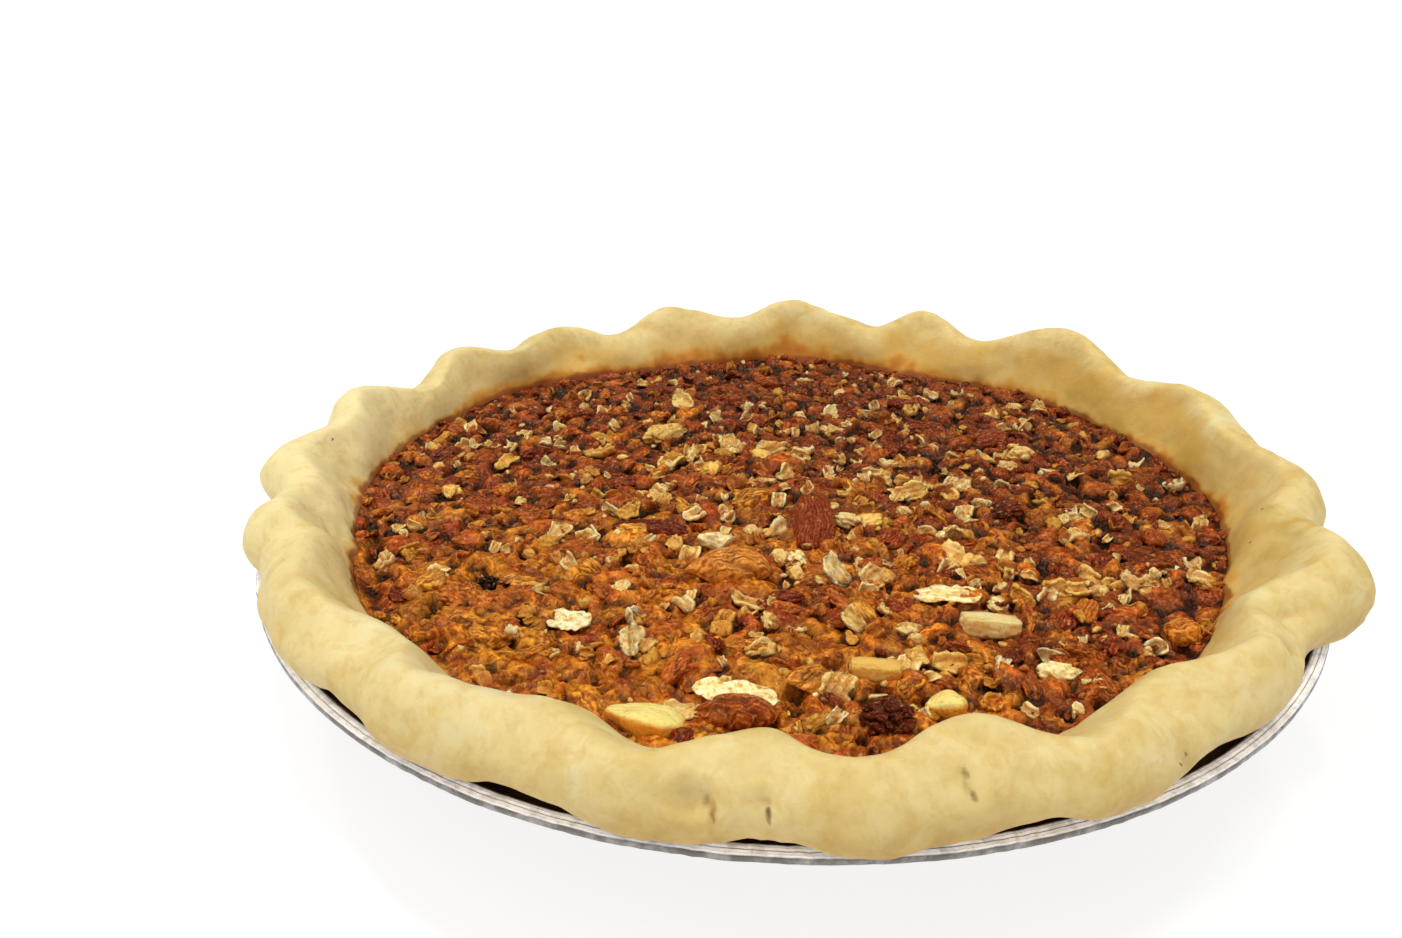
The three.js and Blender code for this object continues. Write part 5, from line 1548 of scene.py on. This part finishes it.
            V, F, skin, bulge = kernel(2)
        z = float(sample(H_SOFT, x * 0.97, y * 0.97)) + r.uniform(-0.4, 0.5)
        heap = kind if kind in ("amber", "rust") else "brown"
        heaps[heap].add(place(V, (L, L * r.uniform(0.5, 0.8), L * 0.5), (r.normal() * 16, r.normal() * 16), a + 90 + r.normal() * 30, (x, y, z)), F, coat_tint(r, bulge, kind), skin)
    # the burnt bit on the near left
    V, F, skin, bulge = kernel_shape(3, r, 3, 0.45, 0.35, size=0.6)
    z = float(sample(H_SOFT, -61.5, -38.0))
    heaps["brown"].add(place(V, (6.0, 4.0, 5.4), (20, 10), 30, (-61.5, -38.0, z + 1.5)), F, np.array(srgb(38, 28, 26)) * (0.7 + 0.5 * bulge)[:, None], skin)
    # the long shaving on the brown half near the front
    V, F, skin = flake_shape(r, 27, 13, 0.14, 0.35)
    z = float(sample(H_SOFT, -12.4, -79.5))
    heaps["flake"].add(place(V, (14.6, 4.8, 3.2), (24, 3), -9, (-12.4, -79.8, z + 3.3)), F, palette(r, "white"), 0.6 * skin)
    for x, y in scatter(r, 170, 9.0, 3.0):
        if not free(x, y):
            continue
        V, F, skin, pale = shell_shape(r, 11, 7, r.uniform(0.10, 0.16), r.uniform(0.8, 1.9), r.uniform(1.2, 2.4))
        L = r.uniform(2.2, 5.2)
        z = float(sample(H_SOFT, x, y)) + 0.6
        tint = shell_tint(r, pale, "white", "yellow", 0.7) if r.uniform() < 0.55 else shell_tint(r, pale, "amber", "rust", 0.8)
        heaps["flake"].add(place(V, (L, L * r.uniform(0.5, 0.9), L * 0.7), (r.normal() * 25, r.normal() * 20), r.uniform(0, 360), (x, y, z), r.uniform(0, 55)), F, tint, skin)
    for x, y in scatter(r, 380, 3.0, 1.5):
        V, F, skin = nut_shape(1, r, 3, False, 0.1, rough=0.15)
        L = r.uniform(0.8, 2.0)
        z = float(sample(H, x, y)) + 0.12 * L
        kind = ("pale", "amber", "rust")[int(r.choice(3, p=[0.30, 0.35, 0.35]))]
        heaps["crumb"].add(place(V, (L, L * 0.8, L * 0.6), (r.normal() * 30, r.normal() * 30), r.uniform(0, 360), (x, y, z)), F, palette(r, kind), skin)
    for h in heaps.values():
        h.make()


# ---------------------------------------------------------------------------------------------------------------------
# build
# ---------------------------------------------------------------------------------------------------------------------
build_crust(pastry_material())
build_tin(foil_material())
H, C, CREVICE_SHADE, GRAIN = build_core()
H_SOFT, C_SOFT = blur(H, 5), blur(C, 3)
core_mesh(glaze_material("glazed_filling", 0.88, 0.20, 0.85))
MATS = {
    "pale": nut_material("pecan_pale", 0.42, 0.7),
    "flake": nut_material("pecan_shaving", 0.48, 0.5, 0.45),
    "clear": nut_material("pecan_clear", 0.22, 0.3, 0.8, 0.5, 0.5),
    "amber": glaze_material("pecan_coated", 0.94, 0.20, 0.75),
    "brown": glaze_material("pecan_skin", 0.88, 0.20, 0.6),
    "smooth": glaze_material("pecan_smooth", 0.92, 0.16, 0.45),
    "crumb": nut_material("pecan_crumb", 0.45, 0.5, 0.7),
}
build_pecans(MATS)
build_nuts(MATS)

# ---------------------------------------------------------------------------------------------------------------------
# floor and light
# ---------------------------------------------------------------------------------------------------------------------


def floor():
    """A pale table lit from below as well, so that shadows stay light."""
    s = Shader("floor")
    s.set(base=s.ramp(s.noise(60, 2), [(0.3, (0.245, 0.245, 0.244)), (0.7, (0.26, 0.26, 0.259))]), rough=0.9, spec=0.1)
    s.p.inputs["Emission Color"].default_value = (1.0, 0.995, 0.985, 1)
    s.p.inputs["Emission Strength"].default_value = 0.79
    v = np.array([(-9000, -9000, -0.05), (9000, -9000, -0.05), (9000, 9000, -0.05), (-9000, 9000, -0.05)], float)
    o = new_mesh("floor", v, np.array([[0, 1, 2, 3]]), s.m, smooth_shade=False)


def backdrop():
    """A white wall far behind, all round, that only the camera sees."""
    s = Shader("backdrop")
    s.set(base=(0.0, 0.0, 0.0), rough=1.0, spec=0.0)
    s.p.inputs["Emission Color"].default_value = (1.0, 1.0, 1.0, 1)
    s.p.inputs["Emission Strength"].default_value = 1.1
    a = np.arange(48) / 48 * 2 * math.pi
    ring = np.stack([np.cos(a), np.sin(a)], -1) * 8500
    v = np.concatenate([np.concatenate([ring, np.full((48, 1), z)], -1) for z in (-200.0, 9000.0)])
    i = np.arange(48)
    o = new_mesh("backdrop", v, np.stack([i, (i + 1) % 48, (i + 1) % 48 + 48, i + 48], -1), s.m, smooth_shade=False)
    o.visible_diffuse = o.visible_glossy = o.visible_shadow = o.visible_transmission = False


def world():
    """A plain studio: bright overhead and in front, dark low at the back, so that gloss keeps its colour."""
    w = bpy.data.worlds.new("studio")
    w.use_nodes = True
    t = w.node_tree
    bg = t.nodes["Background"]
    co = t.nodes.new("ShaderNodeTexCoord")
    dot = t.nodes.new("ShaderNodeVectorMath")
    dot.operation = "DOT_PRODUCT"
    dot.inputs[1].default_value = (-0.05, -0.42, 0.78)
    lift = t.nodes.new("ShaderNodeMath")
    lift.operation = "ADD"
    lift.inputs[1].default_value = 0.22
    ramp = t.nodes.new("ShaderNodeValToRGB")
    t.links.new(co.outputs["Generated"], dot.inputs[0])
    t.links.new(dot.outputs["Value"], lift.inputs[0])
    t.links.new(lift.outputs[0], ramp.inputs[0])
    t.links.new(ramp.outputs[0], bg.inputs["Color"])
    e = ramp.color_ramp.elements
    e[0].position, e[0].color = 0.10, (0.07, 0.068, 0.062, 1)
    e[1].position, e[1].color = 1.0, (0.80, 0.79, 0.775, 1)
    m = e.new(0.35)
    m.color = (0.22, 0.217, 0.21, 1)
    m = e.new(0.65)
    m.color = (0.50, 0.493, 0.48, 1)
    bg.inputs["Strength"].default_value = 0.46
    bpy.context.scene.world = w


def sun(name, towards, strength, angle, colour, glints=True):
    data = bpy.data.lights.new(name, "SUN")
    data.energy = strength
    data.angle = math.radians(angle)
    data.color = colour
    o = bpy.data.objects.new(name, data)
    o.rotation_mode = "QUATERNION"
    o.rotation_quaternion = (-Vector(towards)).to_track_quat("-Z", "Y")
    o.visible_glossy = glints
    bpy.context.scene.collection.objects.link(o)


floor()
backdrop()
world()
sun("key", (-0.42, -0.30, 1.0), 0.54, 34, (1.0, 0.99, 0.975), False)
sun("dome", (-0.12, -0.40, 1.0), 0.90, 150, (1.0, 0.99, 0.975), False)
sun("fill", (0.40, 0.90, 0.55), 0.34, 100, (1.0, 0.99, 0.975), False)
sun("spark_a", (0.02, 0.02, 1.0), 0.52, 7, (1.0, 0.99, 0.97))
sun("spark_b", (-0.50, 0.50, 1.0), 0.52, 7, (1.0, 0.99, 0.97))
sun("spark_c", (0.46, 0.24, 1.0), 0.40, 7, (1.0, 0.99, 0.97))
bpy.context.scene.view_settings.view_transform = "Standard"
